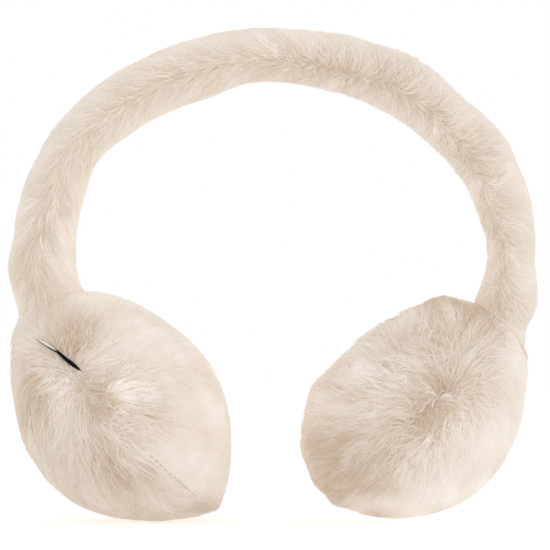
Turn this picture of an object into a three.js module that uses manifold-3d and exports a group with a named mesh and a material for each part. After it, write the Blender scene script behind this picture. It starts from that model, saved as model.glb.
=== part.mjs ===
// Cream fur earmuffs: a fur sleeve over an arched headband, and two padded fur cups. Each cup is sewn
// from an inner panel, which lies on the ear, and an outer panel, along a rim seam. A small blank
// label is sewn into the rim seam of the left cup.
// Millimetres, +Z up, and the wearer faces -Y. The earmuffs stand on the outer panels of both cups,
// which are pressed flat on z = 0. The origin is under the middle of the whole object.
import * as THREE from "three";
import { mergeVertices } from "three/addons/utils/BufferGeometryUtils.js";
import Module from "manifold-3d";

const wasm = await Module();
wasm.setup();

// Driving sizes in millimetres.
const ARCH_HALF_SPAN = 98.5; // middle of the arch to the middle of the sleeve, at its widest level
const ARCH_RISE = 87.5; // widest level up to the middle of the sleeve at the crown
const SLEEVE_THICKNESS = 25.2; // seen from the front, fur included
const SLEEVE_DEPTH = 34; // front to back, fur included
const SLEEVE_END_ROUNDING = 12;
const CUP_RADIUS = 58; // middle of a cup to its rim seam
const CUP_REACH = 42; // rim seam to the top of a panel, fur included
const CUP_DROP = 65; // widest level of the arch down to the middle of the cups
const FUR_RISE = 2.8; // how far the locks stand above the padding
const LOCK_LENGTH = 26;
const LOCK_WIDTH = 17;
const LOCK_VARIATION = 0.3; // spread of the size of the locks, as a share of it
const FINEST_EDGE = 0.01; // corners that the joins leave closer than this are one
const SEAT_FLATTENING = 3.4; // how far the table presses in the underside of a cup
const SEAM_GAP = 0.3; // between the two panels of a cup
const SLEEVE_CLEARANCE = 0.5; // between the sleeve's fur line and the cup that it ends in
const LABEL_LENGTH = 28;
const LABEL_HEIGHT = 10;
const LABEL_THICKNESS = 0.9;
const LABEL_SEAM_DEPTH = 5; // height of the label that the rim seam holds
const LABEL_CLEARANCE = 0.3;
const LABEL_UP = 0.6; // middle of the label above the middle of the cup, as a share of the radius
const LABEL_CORNER = 1; // cut off the outer corners of the label

// One row for each cup. side is -1 on the left. tilt is how far the ear side looks up, and turn how
// far it looks to the front, in degrees. The rest are shares of the cup radius: the rim, how far the
// cup sits inside the arch, where the sleeve ends, up along the rim plane and across it to the ear
// side, and where the hair parts, up along the rim.
const CUPS = {
  left: { side: -1, tilt: 45, turn: 3, rim: 1.02, inset: 0.57, endUp: 0.5, endAcross: 0.1, whorlUp: 0.16 },
  right: { side: 1, tilt: 43, turn: 9, rim: 0.965, inset: 0.7, endUp: 0.5, endAcross: -0.15, whorlUp: 0.1 },
};

// One row for each panel: its cup, 1 towards the ear or -1 away from it, its reach as a share of the
// cup reach, and its fullness, where a smaller value is a fuller dome.
const PANELS = [
  { name: "left_cup_outer_panel", cup: "left", facing: -1, reach: 1.03, fullness: 0.76, colour: 0xd9cebf },
  { name: "left_cup_inner_panel", cup: "left", facing: 1, reach: 1, fullness: 0.78, colour: 0xece3d8 },
  { name: "right_cup_outer_panel", cup: "right", facing: -1, reach: 1.04, fullness: 0.68, colour: 0xebe2d6 },
  { name: "right_cup_inner_panel", cup: "right", facing: 1, reach: 0.92, fullness: 0.55, colour: 0xdbcdbc },
];

// One row for each station of the sleeve: share of its length from the left end, thickness as a
// share of the sleeve thickness, and lean, which is how much the nap follows the sleeve, to the
// left end where it is negative.
const SLEEVE_STATIONS = [
  { at: 0, thickness: 1.1, lean: -0.9 },
  { at: 0.1, thickness: 1.14, lean: -0.9 },
  { at: 0.16, thickness: 1, lean: -0.9 },
  { at: 0.3, thickness: 0.93, lean: -0.9 },
  { at: 0.5, thickness: 0.92, lean: -0.6 },
  { at: 0.64, thickness: 1.05, lean: -0.15 },
  { at: 0.78, thickness: 1.05, lean: 0.1 },
  { at: 0.87, thickness: 0.82, lean: 0.3 },
  { at: 0.93, thickness: 1.06, lean: 0.4 },
  { at: 1, thickness: 1, lean: 0.4 },
];

// One row for each level of a lock, from its root to its tip: share of its length, half width as a
// share of the lock width, and middle height and half thickness as shares of the rise of the fur.
const LOCK_LEVELS = [
  { at: 0, halfWidth: 0.35, middle: -0.6, half: 0.4 },
  { at: 0.55, halfWidth: 0.5, middle: 0, half: 0.95 },
  { at: 1, halfWidth: 0, middle: 0.45, half: 0 },
];

const UP = new THREE.Vector3(0, 0, 1);
const BACK = new THREE.Vector3(0, 1, 0);
const SLEEVE_LOCK_SHARE = 0.85; // size of the sleeve's locks as a share of those of the cups
const RING_SPACING = 0.8; // between rings of locks on the sleeve, as a share of the lock length
const PLACE_JITTER = 0.5; // of the sleeve's locks, as a share of their spacing
const SIDEWAYS_JITTER = 0.5; // how far a lock of a cup can bend off the nap, as a share of its length
const PARTING_EDGES = [0.2, 1.3]; // angles from the parting between which the nap turns round the sleeve
const PARTING_HOLD = 0.7; // how much of the turn round the sleeve the parting takes away
const FRONT_EDGES = [-0.8, 0.2]; // shares of the radius, to the front, between which the whorl takes over
const HANG = 1.2; // pull of the nap down the back of a cup, where the whorl's is 1
const WHORL_CLEARANCE = 0.8; // how much of the way back to the whorl a lock's root may go
const DOME_AREA_SHARE = 1.15; // skin of a panel as a share of that of a cone of its height
const LOCK_COVER = 0.95; // skin for each lock of a cup, as a share of its length times its width
const RIM_LIMIT = 0.97; // outermost middle of a lock, as a share of the radius
const RIM_CROWDING = 0.45; // below 0.5, the locks stand closer at the rim, where the skin is steep
const SLEEVE_SIDES = 8;
const SLEEVE_RINGS = 28;
const POCKET_SIDES = 20;
const POCKET_RINGS = 68;
const DOME_SIDES = 16;
const DOME_RINGS = 12;
const PARTING_ANGLE = THREE.MathUtils.degToRad(-103); // just inside the front of the sleeve
const WORK_SIZE = 4 * (ARCH_HALF_SPAN + CUP_RADIUS + ARCH_RISE); // larger than the whole object

// Seeded random numbers from 0 to 1.
function randomSource(seed) {
  let state = seed;
  return () => {
    state = (state * 1664525 + 1013904223) % 4294967296;
    return state / 4294967296;
  };
}

function solidOf(positions, triangles) {
  const mesh = new wasm.Mesh({
    numProp: 3,
    vertProperties: new Float32Array(positions),
    triVerts: new Uint32Array(triangles),
  });
  return new wasm.Manifold(mesh);
}

function toSolid(geometry) {
  geometry.deleteAttribute("normal");
  geometry.deleteAttribute("uv");
  const merged = mergeVertices(geometry, 1e-4);
  return solidOf(merged.attributes.position.array, merged.index.array);
}

// The triangles of a solid once corners closer than FINEST_EDGE are one, without those left flat.
function weldedTriangles({ vertProperties, triVerts }) {
  const corners = [];
  for (let i = 0; i < vertProperties.length; i += 3) {
    corners.push(new THREE.Vector3().fromArray(vertProperties, i));
  }
  const leaders = [];
  const leaderOf = corners.map((corner, i) => {
    const leader = leaders.find((other) => corners[other].distanceTo(corner) < FINEST_EDGE);
    if (leader === undefined) leaders.push(i);
    return leader ?? i;
  });
  const triangles = [];
  for (let i = 0; i < triVerts.length; i += 3) {
    const [a, b, c] = [0, 1, 2].map((corner) => leaderOf[triVerts[i + corner]]);
    if (a !== b && b !== c && c !== a) triangles.push(a, b, c);
  }
  return triangles;
}

function toMesh(solid, name, colour, roughness) {
  const { vertProperties, triVerts } = solid.getMesh();
  const geometry = new THREE.BufferGeometry();
  geometry.setAttribute("position", new THREE.BufferAttribute(vertProperties, 3));
  geometry.setIndex(new THREE.BufferAttribute(triVerts, 1));
  geometry.computeVertexNormals();
  const material = new THREE.MeshStandardMaterial({ color: colour, roughness, metalness: 0 });
  const mesh = new THREE.Mesh(geometry, material);
  mesh.name = name;
  return mesh;
}

// Padding with its locks joined on.
function furred(padding, locks) {
  return locks.reduce((solid, piece) => solid.add(piece), padding);
}

// The body that is left once the slivers and crumbs of the joins and cuts are gone.
function cleaned(solid) {
  const faces = solid.getMesh();
  const pieces = solidOf(faces.vertProperties, weldedTriangles(faces)).decompose();
  return pieces.reduce((best, piece) => (piece.volume() > best.volume() ? piece : best));
}

// A size near 1, different for each lock.
function varied(random) {
  return 1 + LOCK_VARIATION * (random() - 0.5);
}

// Moves each vertex of a three.js shape through a function of the vertex and its uv.
function reshape(geometry, place) {
  const { position, uv } = geometry.attributes;
  for (let i = 0; i < position.count; i++) {
    const vertex = new THREE.Vector3().fromBufferAttribute(position, i);
    const target = place(vertex, uv.getX(i), uv.getY(i));
    position.setXYZ(i, target.x, target.y, target.z);
  }
  return geometry;
}

// A box that fills one side of a plane, on the side that the normal points to.
function halfSpace(point, normal) {
  const box = new THREE.BoxGeometry(WORK_SIZE, WORK_SIZE, WORK_SIZE).translate(0, 0, WORK_SIZE / 2);
  box.applyQuaternion(new THREE.Quaternion().setFromUnitVectors(UP, normal));
  return toSolid(box.translate(point.x, point.y, point.z));
}

// A lock of fur: a three-sided tapered tuft. skinAt gives the point, normal and heading of the skin
// at a share of the lock's length.
function lock(skinAt, width) {
  const last = LOCK_LEVELS.length - 1;
  const cone = new THREE.ConeGeometry(1, 1, 3, last);
  const levels = LOCK_LEVELS.map((level) => ({ ...level, ...skinAt(level.at) }));
  const shaped = reshape(cone, (vertex) => {
    const level = levels[Math.round((vertex.y + 0.5) * last)];
    const section = new THREE.Vector2(vertex.x, vertex.z).normalize();
    const across = new THREE.Vector3().crossVectors(level.heading, level.normal);
    return level.point
      .clone()
      .addScaledVector(across, section.x * level.halfWidth * width)
      .addScaledVector(level.normal, (level.middle + section.y * level.half) * FUR_RISE);
  });
  return toSolid(shaped);
}

// The frame of a cup: its middle, and unit directions to the ear side, down along the rim and to
// the front. Its height puts the flattened underside of the outer panel on the table.
function cupFrame(row) {
  const tilt = THREE.MathUtils.degToRad(row.tilt);
  const turn = THREE.MathUtils.degToRad(row.turn);
  const facing = new THREE.Vector3(-row.side * Math.cos(turn), -Math.sin(turn), 0);
  const ear = facing.clone().multiplyScalar(Math.cos(tilt)).addScaledVector(UP, Math.sin(tilt));
  const down = facing.clone().multiplyScalar(Math.sin(tilt)).addScaledVector(UP, -Math.cos(tilt));
  const front = new THREE.Vector3(row.side * Math.sin(turn), -Math.cos(turn), 0);
  const radius = row.rim * CUP_RADIUS;
  return { ...row, ear, down, front, radius, middle: new THREE.Vector3() };
}

function panelReach(panel) {
  return panel.reach * CUP_REACH;
}

// Deepest point below the middle of the cup that the fur of its outer panel reaches.
function undersideDepth(cup, panel) {
  const samples = 200;
  let depth = 0;
  for (let i = 0; i <= samples; i++) {
    const share = i / samples;
    const dome = panelReach(panel) * Math.pow(1 - share * share, panel.fullness);
    depth = Math.max(depth, -cup.down.z * cup.radius * share + cup.ear.z * dome);
  }
  return depth;
}

const cups = { left: cupFrame(CUPS.left), right: cupFrame(CUPS.right) };
for (const panel of PANELS.filter((row) => row.facing < 0)) {
  const cup = cups[panel.cup];
  cup.middle.x = cup.side * (ARCH_HALF_SPAN - cup.inset * CUP_RADIUS);
  cup.middle.z = undersideDepth(cup, panel) - SEAT_FLATTENING;
}

// Where the sleeve ends inside a cup.
function sleeveEnd(cup) {
  return cup.middle
    .clone()
    .addScaledVector(cup.down, -cup.endUp * cup.radius)
    .addScaledVector(cup.ear, cup.endAcross * cup.radius)
    .setY(0);
}

// The middle line of the sleeve: half an ellipse, and a neck down into each cup.
function sleeveLine() {
  const widest = (cups.left.middle.z + cups.right.middle.z) / 2 + CUP_DROP;
  const arch = new THREE.EllipseCurve(0, widest, ARCH_HALF_SPAN, ARCH_RISE, Math.PI, 0, true);
  const points = arch.getPoints(12).map((point) => new THREE.Vector3(point.x, 0, point.y));
  return new THREE.CatmullRomCurve3([sleeveEnd(cups.left), ...points, sleeveEnd(cups.right)]);
}

const sleevePath = sleeveLine();
const sleeveLength = sleevePath.getLength();

function stationAt(share) {
  const next = Math.max(1, SLEEVE_STATIONS.findIndex((station) => station.at >= share));
  const [from, to] = [SLEEVE_STATIONS[next - 1], SLEEVE_STATIONS[next]];
  const blend = THREE.MathUtils.smoothstep(share, from.at, to.at);
  return {
    thickness: THREE.MathUtils.lerp(from.thickness, to.thickness, blend) * SLEEVE_THICKNESS,
    lean: THREE.MathUtils.lerp(from.lean, to.lean, blend),
  };
}

// A point of the sleeve's skin, margin outside its fur line, with its normal and the direction of
// the middle line. The angle is 0 on the outside of the arch and negative at the front.
function sleeveSkin(share, angle, margin) {
  const along = sleevePath.getTangentAt(share);
  const outward = new THREE.Vector3(-along.z, 0, along.x);
  const endDistance = Math.min(share, 1 - share) * sleeveLength;
  const toFull = Math.min(1, endDistance / SLEEVE_END_ROUNDING);
  const rounding = Math.sqrt(1 - (1 - toFull) * (1 - toFull));
  const halfThickness = (stationAt(share).thickness / 2 + margin) * rounding;
  const halfDepth = (SLEEVE_DEPTH / 2 + margin) * rounding;
  const point = sleevePath
    .getPointAt(share)
    .addScaledVector(outward, halfThickness * Math.cos(angle))
    .addScaledVector(BACK, halfDepth * Math.sin(angle));
  const normal = outward
    .multiplyScalar(Math.cos(angle) * SLEEVE_DEPTH)
    .addScaledVector(BACK, Math.sin(angle) * SLEEVE_THICKNESS)
    .normalize();
  return { point, normal, along };
}

function sleeveSolid(margin, sides, rings) {
  const ball = new THREE.SphereGeometry(1, sides, rings);
  return toSolid(reshape(ball, (vertex, u, v) => sleeveSkin(1 - v, u * 2 * Math.PI, margin).point));
}

// The nap of the sleeve at an angle from its parting: how much it runs along the sleeve and round
// it. It runs round it at the sides, and down to the nearer cup at the parting and at the back.
function sleeveNap(share, fromParting) {
  const nearerCup = share < 0.5 ? -1 : 1;
  const nearParting = 1 - THREE.MathUtils.smoothstep(Math.abs(fromParting), ...PARTING_EDGES);
  const nearBack = Math.pow(Math.sin(fromParting / 2), 4);
  return {
    lean: stationAt(share).lean + nearerCup * (nearParting + nearBack),
    spread: Math.sign(fromParting) * Math.cos(fromParting / 2) * (1 - PARTING_HOLD * nearParting),
  };
}

// Locks in staggered rings along the sleeve.
function sleeveLocks() {
  const random = randomSource(7);
  const meanRadius = (SLEEVE_THICKNESS + SLEEVE_DEPTH) / 4;
  const perRing = Math.round((2 * Math.PI * meanRadius) / LOCK_WIDTH) + 1;
  const rings = Math.round(sleeveLength / (RING_SPACING * LOCK_LENGTH));
  const locks = [];
  for (let ring = 1; ring < rings; ring++) {
    for (let i = 0; i < perRing; i++) {
      const share = (ring + PLACE_JITTER * (random() - 0.5)) / rings;
      const turn = (i + 0.5 * (ring % 2) + PLACE_JITTER * (random() - 0.5)) / perRing;
      const fromParting = (turn - 0.5) * 2 * Math.PI;
      const { lean, spread } = sleeveNap(share, fromParting);
      const length = SLEEVE_LOCK_SHARE * LOCK_LENGTH * varied(random);
      const size = length / Math.hypot(lean, spread);
      const tip = share + (size * lean) / sleeveLength;
      if (Math.min(share, tip, 1 - share, 1 - tip) * sleeveLength < SLEEVE_END_ROUNDING) continue;
      const skinAt = (part) => {
        const at = share + (part * size * lean) / sleeveLength;
        const angle = PARTING_ANGLE + fromParting + (part * size * spread) / meanRadius;
        const skin = sleeveSkin(at, angle, -FUR_RISE);
        const around = new THREE.Vector3().crossVectors(skin.normal, skin.along);
        const heading = skin.along.clone().multiplyScalar(lean).addScaledVector(around, spread).normalize();
        return { ...skin, heading };
      };
      locks.push(lock(skinAt, SLEEVE_LOCK_SHARE * LOCK_WIDTH));
    }
  }
  return locks;
}

function buildSleeve() {
  return cleaned(furred(sleeveSolid(-FUR_RISE, SLEEVE_SIDES, SLEEVE_RINGS), sleeveLocks()));
}

// A dome over the rim plane of a cup, margin outside its fur line. Both faces are the same, and the
// far one is cut away at the seam.
function domeSolid(cup, panel, margin) {
  const ball = new THREE.SphereGeometry(1, DOME_SIDES, DOME_RINGS);
  const reach = panelReach(panel) + margin;
  const handedness = cup.side * panel.facing;
  const shaped = reshape(ball, (vertex) => {
    const height = Math.sign(vertex.y) * Math.pow(Math.abs(vertex.y), 2 * panel.fullness) * reach;
    return cup.middle
      .clone()
      .addScaledVector(cup.front, vertex.x * handedness * (cup.radius + margin))
      .addScaledVector(cup.down, vertex.z * (cup.radius + margin))
      .addScaledVector(cup.ear, height * panel.facing);
  });
  return toSolid(shaped);
}

// The point of a panel's padding on the line from the middle of the cup through a given point.
function domeSkin(cup, panel, near) {
  const radius = cup.radius - FUR_RISE;
  const reach = panelReach(panel) - FUR_RISE;
  const offset = near.clone().sub(cup.middle);
  const height = Math.max(0, offset.dot(cup.ear) * panel.facing);
  const flat = offset.clone().addScaledVector(cup.ear, -offset.dot(cup.ear));
  const rimPart = flat.length() / radius;
  const topPart = height / reach;
  const sharpness = 1 / panel.fullness;
  let [low, high] = [0, 4];
  for (let i = 0; i < 30; i++) {
    const size = (low + high) / 2;
    const inside = Math.pow(size * rimPart, 2) + Math.pow(size * topPart, sharpness) < 1;
    if (inside) low = size;
    else high = size;
  }
  const point = cup.middle
    .clone()
    .addScaledVector(flat, low)
    .addScaledVector(cup.ear, low * height * panel.facing);
  const slope = sharpness * Math.pow(Math.max(low * topPart, 0.02), sharpness - 1) / reach;
  const normal = flat
    .clone()
    .multiplyScalar((2 * low) / (radius * radius))
    .addScaledVector(cup.ear, slope * panel.facing)
    .normalize();
  return { point, normal };
}

function whorlOf(cup) {
  return cup.middle
    .clone()
    .addScaledVector(cup.front, cup.radius)
    .addScaledVector(cup.down, -cup.whorlUp * cup.radius);
}

// The nap of a cup runs away from a whorl at the front of the rim, and down the back.
function cupNap(cup, point, normal) {
  const frontness = point.clone().sub(cup.middle).dot(cup.front) / cup.radius;
  const fromWhorl = THREE.MathUtils.smoothstep(frontness, ...FRONT_EDGES);
  const nap = point.clone().sub(whorlOf(cup)).normalize().multiplyScalar(fromWhorl);
  nap.addScaledVector(cup.down, HANG - fromWhorl);
  return nap.addScaledVector(normal, -nap.dot(normal)).normalize();
}

function panelLocks(cup, panel) {
  const random = randomSource(11 + Math.round(100 * panel.fullness));
  const goldenAngle = Math.PI * (3 - Math.sqrt(5));
  const area = Math.PI * cup.radius * Math.hypot(cup.radius, panelReach(panel)) * DOME_AREA_SHARE;
  const count = Math.round(area / (LOCK_COVER * LOCK_LENGTH * LOCK_WIDTH));
  const locks = [];
  for (let i = 0; i < count; i++) {
    const rimShare = RIM_LIMIT * Math.pow((i + 0.5) / count, RIM_CROWDING);
    const angle = i * goldenAngle;
    const height = panelReach(panel) * Math.pow(1 - rimShare ** 2, panel.fullness);
    const start = cup.middle
      .clone()
      .addScaledVector(cup.front, Math.cos(angle) * rimShare * cup.radius)
      .addScaledVector(cup.down, Math.sin(angle) * rimShare * cup.radius)
      .addScaledVector(cup.ear, panel.facing * height);
    const centre = domeSkin(cup, panel, start);
    const length = LOCK_LENGTH * varied(random);
    const toWhorl = WHORL_CLEARANCE * centre.point.distanceTo(whorlOf(cup));
    const behind = cupNap(cup, centre.point, centre.normal).multiplyScalar(-Math.min(length / 2, toWhorl));
    const root = domeSkin(cup, panel, centre.point.clone().add(behind));
    const sideways = SIDEWAYS_JITTER * (random() - 0.5);
    const skinAt = (part) => {
      const skin = { ...root, heading: cupNap(cup, root.point, root.normal) };
      const steps = 4;
      for (let step = 0; step < steps && part > 0; step++) {
        const across = new THREE.Vector3().crossVectors(skin.normal, skin.heading);
        const ahead = skin.point
          .clone()
          .addScaledVector(skin.heading, (part * length) / steps)
          .addScaledVector(across, (sideways * part * length) / steps);
        Object.assign(skin, domeSkin(cup, panel, ahead));
        skin.heading = cupNap(cup, skin.point, skin.normal);
      }
      return skin;
    };
    locks.push(lock(skinAt, LOCK_WIDTH * varied(random)));
  }
  return locks;
}

// A thin plate with its outer corners cut, which stands out of the rim seam at the front of the left
// cup, in the plane of the seam.
function labelSolid(margin) {
  const cup = cups.left;
  const up = LABEL_UP * cup.radius;
  const place = new THREE.Vector3()
    .addScaledVector(cup.front, Math.sqrt(cup.radius ** 2 - up ** 2))
    .addScaledVector(cup.down, -up);
  const outward = place.clone().normalize();
  const sideways = new THREE.Vector3().crossVectors(outward, cup.ear);
  const half = LABEL_LENGTH / 2 + margin;
  const bottom = -LABEL_SEAM_DEPTH - margin;
  const top = LABEL_HEIGHT - LABEL_SEAM_DEPTH + margin;
  const outline = new THREE.Shape()
    .moveTo(-half, bottom)
    .lineTo(half, bottom)
    .lineTo(half, top - LABEL_CORNER)
    .lineTo(half - LABEL_CORNER, top)
    .lineTo(LABEL_CORNER - half, top)
    .lineTo(-half, top - LABEL_CORNER)
    .closePath();
  const depth = LABEL_THICKNESS + 2 * margin;
  const plate = new THREE.ExtrudeGeometry(outline, { depth, bevelEnabled: false });
  plate.translate(0, 0, -depth / 2);
  plate.applyMatrix4(new THREE.Matrix4().makeBasis(sideways, outward, cup.ear));
  plate.translate(cup.middle.x + place.x, cup.middle.y + place.y, cup.middle.z + place.z);
  return toSolid(plate);
}

function buildPanel(panel) {
  const cup = cups[panel.cup];
  const seam = cup.middle.clone().addScaledVector(cup.ear, (panel.facing * SEAM_GAP) / 2);
  const trimmed = furred(domeSolid(cup, panel, -FUR_RISE), panelLocks(cup, panel))
    .intersect(halfSpace(seam, cup.ear.clone().multiplyScalar(panel.facing)))
    .intersect(halfSpace(new THREE.Vector3(), UP))
    .subtract(sleevePocket);
  return cleaned(panel.cup === "left" ? trimmed.subtract(labelSlot) : trimmed);
}

const sleevePocket = sleeveSolid(SLEEVE_CLEARANCE, POCKET_SIDES, POCKET_RINGS);
const labelSlot = labelSolid(LABEL_CLEARANCE);

const earmuffs = new THREE.Group();
earmuffs.add(toMesh(buildSleeve(), "headband_sleeve", 0xe5dbd0, 0.95));
for (const panel of PANELS) {
  earmuffs.add(toMesh(buildPanel(panel), panel.name, panel.colour, 0.95));
}
earmuffs.add(toMesh(labelSolid(0), "seam_label", 0x15130f, 0.7));

// The middle of the whole object comes over the origin.
const middle = new THREE.Box3().setFromObject(earmuffs).getCenter(new THREE.Vector3());
earmuffs.position.set(-middle.x, -middle.y, 0);

export default earmuffs;
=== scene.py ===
"""Looks of a pair of cream fur earmuffs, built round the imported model.

A fur sleeve arches over two padded cups. Each cup is sewn from an inner panel, which lies on the ear, and an
outer panel. The sleeve and the panels get stuffed padding and a coat of combed hair over it, the rim seams
their cut edges and stitches, and the label its layers. Sizes in the classes are in millimetres, and a piece
is turned to metres when its mesh is made.
"""

import logging
import math
from dataclasses import dataclass, field
from enum import Enum, IntEnum

import bpy
import numpy as np
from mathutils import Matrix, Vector, kdtree


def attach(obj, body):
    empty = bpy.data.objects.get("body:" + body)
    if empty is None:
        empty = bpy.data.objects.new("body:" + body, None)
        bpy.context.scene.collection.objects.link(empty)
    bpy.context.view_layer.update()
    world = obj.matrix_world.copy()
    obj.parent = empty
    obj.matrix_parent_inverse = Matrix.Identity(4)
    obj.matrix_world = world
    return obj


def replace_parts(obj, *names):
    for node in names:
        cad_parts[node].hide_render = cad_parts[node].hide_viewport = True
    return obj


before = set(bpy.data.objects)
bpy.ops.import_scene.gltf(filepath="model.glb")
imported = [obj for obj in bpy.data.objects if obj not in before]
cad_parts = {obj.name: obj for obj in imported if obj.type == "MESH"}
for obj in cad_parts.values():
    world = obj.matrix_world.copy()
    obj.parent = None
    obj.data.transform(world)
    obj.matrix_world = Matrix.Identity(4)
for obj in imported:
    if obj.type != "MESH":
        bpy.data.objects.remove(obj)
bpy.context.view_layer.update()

log = logging.getLogger("earmuffs")

MM = 0.001
CENTRING = np.array([2.3176, 0.8955, 0.0])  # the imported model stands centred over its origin
UP = np.array([0.0, 0.0, 1.0])
BACK = np.array([0.0, 1.0, 0.0])
ARCH_HALF_SPAN = 98.5
ARCH_RISE = 87.5
CUP_DROP = 65.0
CUP_MIDDLE_HEIGHT = 44.29
CUP_RADIUS = 58.0
CUP_REACH = 42.0
SLEEVE_THICKNESS = 25.2
SLEEVE_DEPTH = 34.0
SLEEVE_END_ROUNDING = 12.0
SEAM_ROUNDING = 7.0  # how far from a rim seam the fur rounds over it
SEAM_DIP = 0.6  # how much lower the fur lies where the stitches of a rim seam show
SEGMENTS = 3  # joints along one hair
HAIR_PROFILE = np.array([0.8, 1.0, 0.75])  # width of a hair at its joints, and it ends in a point
SHADE_MAP = "OFBake"  # across it runs a hair's tone, and up it runs the way from root to tip
SWELL_WAVES = 9  # waves that make up a random swell
SWELL_SPREAD = (0.6, 1.5)  # how many of them go into its size
GOLDEN_TURN = 3 - math.sqrt(5)  # the golden angle in half turns
GOLDEN_SHARE = 0.6180339887
ROOT_JITTER = 0.02  # spread of the roots' angles
LEAST_HALF = 0.1  # the least half thickness or depth that an angle is taken from
SKIN_SEARCH = 6.0  # how far out the skin is looked for, as a multiple of the given place
SKIN_HALVINGS = 24
FRONT_EDGES = (-0.8, 0.2)  # shares of the radius, to the front, between which the whorl takes over
HANG = 1.2  # pull of the nap down the back of a cup, where the whorl's is 1
WHORL_REACH = 18.0  # how far from the whorl the hair is ruffled
TONE_BLEND = 12.0  # how far from a rim seam the panels' tones meet
SEAM_WIDTH = 3.0  # how far from a rim seam the fur dips
HOLD_WIDTH = 4.0  # how far from a rim seam the hair keeps from gathering
PARTING_REACH = 0.5  # how far round the sleeve from the parting the hair is ruffled
SLEEVE_TONE = 0.48
LENGTH_SPREAD = (0.75, 1.15)
LOOSE_LENGTH = 0.35  # of a loose hair, as a share of a combed one's
LOOSE_TURN = 1.6  # how far a loose hair can leave the nap
LOOSE_DEPTH = 0.4  # of a loose hair's root, as a share of a combed one's
LOOSE_SHAG = 0.2
TIP_DEPTH = 0.4  # spread of the depth of the tips
TONE_SWELL = 0.07  # how much the tone changes over the fur
TONE_SPREAD = 0.056  # and from hair to hair
FURROW_SHADE = 0.25  # painted shade: how much darker the hair between the locks is
LOCK_EDGE = 0.62  # from the middle of a lock to its edge, as a share of the spacing
LOCK_JITTER = 0.12
DROOP_FROM_WHORL = (8, 45)  # how far from the whorl the hair begins to hang, and hangs fully
DROOP_FROM_SEAM = (0, 20)  # and how far from the rim seam
PARTING_EDGES = (0.15, 1.0)  # angles from the parting over which its own lean fades
CROWN = (0.4, 0.6)  # shares of the sleeve's length between which the back turns to the other cup
BEND_SIZE = 38.0
WAVE_SIZE = 26.0
WAVE_TURNS = 0.8  # turns of a lock's wave along one hair
TUFT_SIZE = 6.0
TONE_SIZE = 17.0
HAIR_ROLL = 0.5  # how far a hair can roll round its own line
WIDTH_SPREAD = (0.7, 1.3)
HAIR_ROUNDNESS = 0.25  # how much a hair's own side counts in its shading
DRAPE_HEIGHT = 0.3  # of hair over the part that it is laid on
FLOOR_SPREAD = (0.15, 1.2)  # heights of hair that lies on the floor
PANEL_BURIED = 1.0  # how deep in the sleeve a panel's hair is left out
SLEEVE_BURIED = 3.0  # how deep in a cup the sleeve's hair is left out
LABEL_CUTS = 18


class Face(Enum):
    """The two panels of a cup."""

    INNER = 1
    OUTER = -1


class Column(IntEnum):
    """The columns of the sleeve's table of stations."""

    SHARE = 0
    THICKNESS = 1
    LEAN = 2
    PARTING = 3
    OUTSIDE = 4


def unit(rows: np.ndarray) -> np.ndarray:
    """Rows scaled to length one."""
    return rows / np.maximum(np.linalg.norm(rows, axis=-1, keepdims=True), 1e-9)


def smooth(values: np.ndarray, low: float, high: float) -> np.ndarray:
    """A smooth step from 0 at low to 1 at high."""
    share = np.clip((values - low) / (high - low), 0, 1)
    return share * share * (3 - 2 * share)


def dots(first: np.ndarray, second: np.ndarray) -> np.ndarray:
    """The dot product of each row of first with second, or with its row of second."""
    return (first * second).sum(-1, keepdims=True)


def linear(code: int) -> tuple[float, float, float, float]:
    """A colour code as the linear colour that shaders take."""
    parts = [(code >> shift & 255) / 255 for shift in (16, 8, 0)]
    values = [part / 12.92 if part <= 0.04045 else ((part + 0.055) / 1.055) ** 2.4 for part in parts]
    return (*values, 1.0)


def tree_of(places: np.ndarray) -> kdtree.KDTree:
    """A search tree of places, one a row."""
    tree = kdtree.KDTree(len(places))
    for i, place in enumerate(places):
        tree.insert(Vector(place), i)
    tree.balance()
    return tree


def through(points: np.ndarray, count: int) -> np.ndarray:
    """A smooth line through points, with its places evenly spaced.

    Args:
        points: the places that the line goes through, one a row.
        count: how many places are wanted.

    Returns:
        The places along the line, one a row.
    """
    ends = np.vstack([2 * points[0] - points[1], points, 2 * points[-1] - points[-2]])
    share = np.linspace(0, 1, 50, endpoint=False)[:, None]
    spans = []
    for a, b, c, d in zip(ends, ends[1:], ends[2:], ends[3:]):
        before, across, after = (math.sqrt(np.linalg.norm(q - p)) for p, q in ((a, b), (b, c), (c, d)))
        start = across * ((b - a) / before - (c - a) / (before + across) + (c - b) / across)
        end = across * ((c - b) / across - (d - b) / (across + after) + (d - c) / after)
        square = 3 * (c - b) - 2 * start - end
        cube = 2 * (b - c) + start + end
        spans.append(b + start * share + square * share**2 + cube * share**3)
    line = np.vstack([*spans, points[-1:]])
    lengths = np.concatenate([[0], np.cumsum(np.linalg.norm(np.diff(line, axis=0), axis=1))])
    wanted = np.linspace(0, lengths[-1], count)
    return np.column_stack([np.interp(wanted, lengths, column) for column in line.T])


@dataclass(frozen=True)
class Swell:
    """A smooth random field in space, near -1 to 1.

    Args:
        size: width of one swell.
        seed: its own random seed.
    """

    size: float
    seed: int

    def at(self, places: np.ndarray) -> np.ndarray:
        """The field at places, one value a row."""
        rng = np.random.default_rng(self.seed)
        ways = unit(rng.normal(size=(SWELL_WAVES, 3)))
        waves = ways * rng.uniform(*SWELL_SPREAD, (SWELL_WAVES, 1)) * math.tau / self.size
        phases = rng.uniform(0, math.tau, SWELL_WAVES)
        return np.sin(places @ waves.T + phases).sum(-1) / math.sqrt(SWELL_WAVES)


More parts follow.
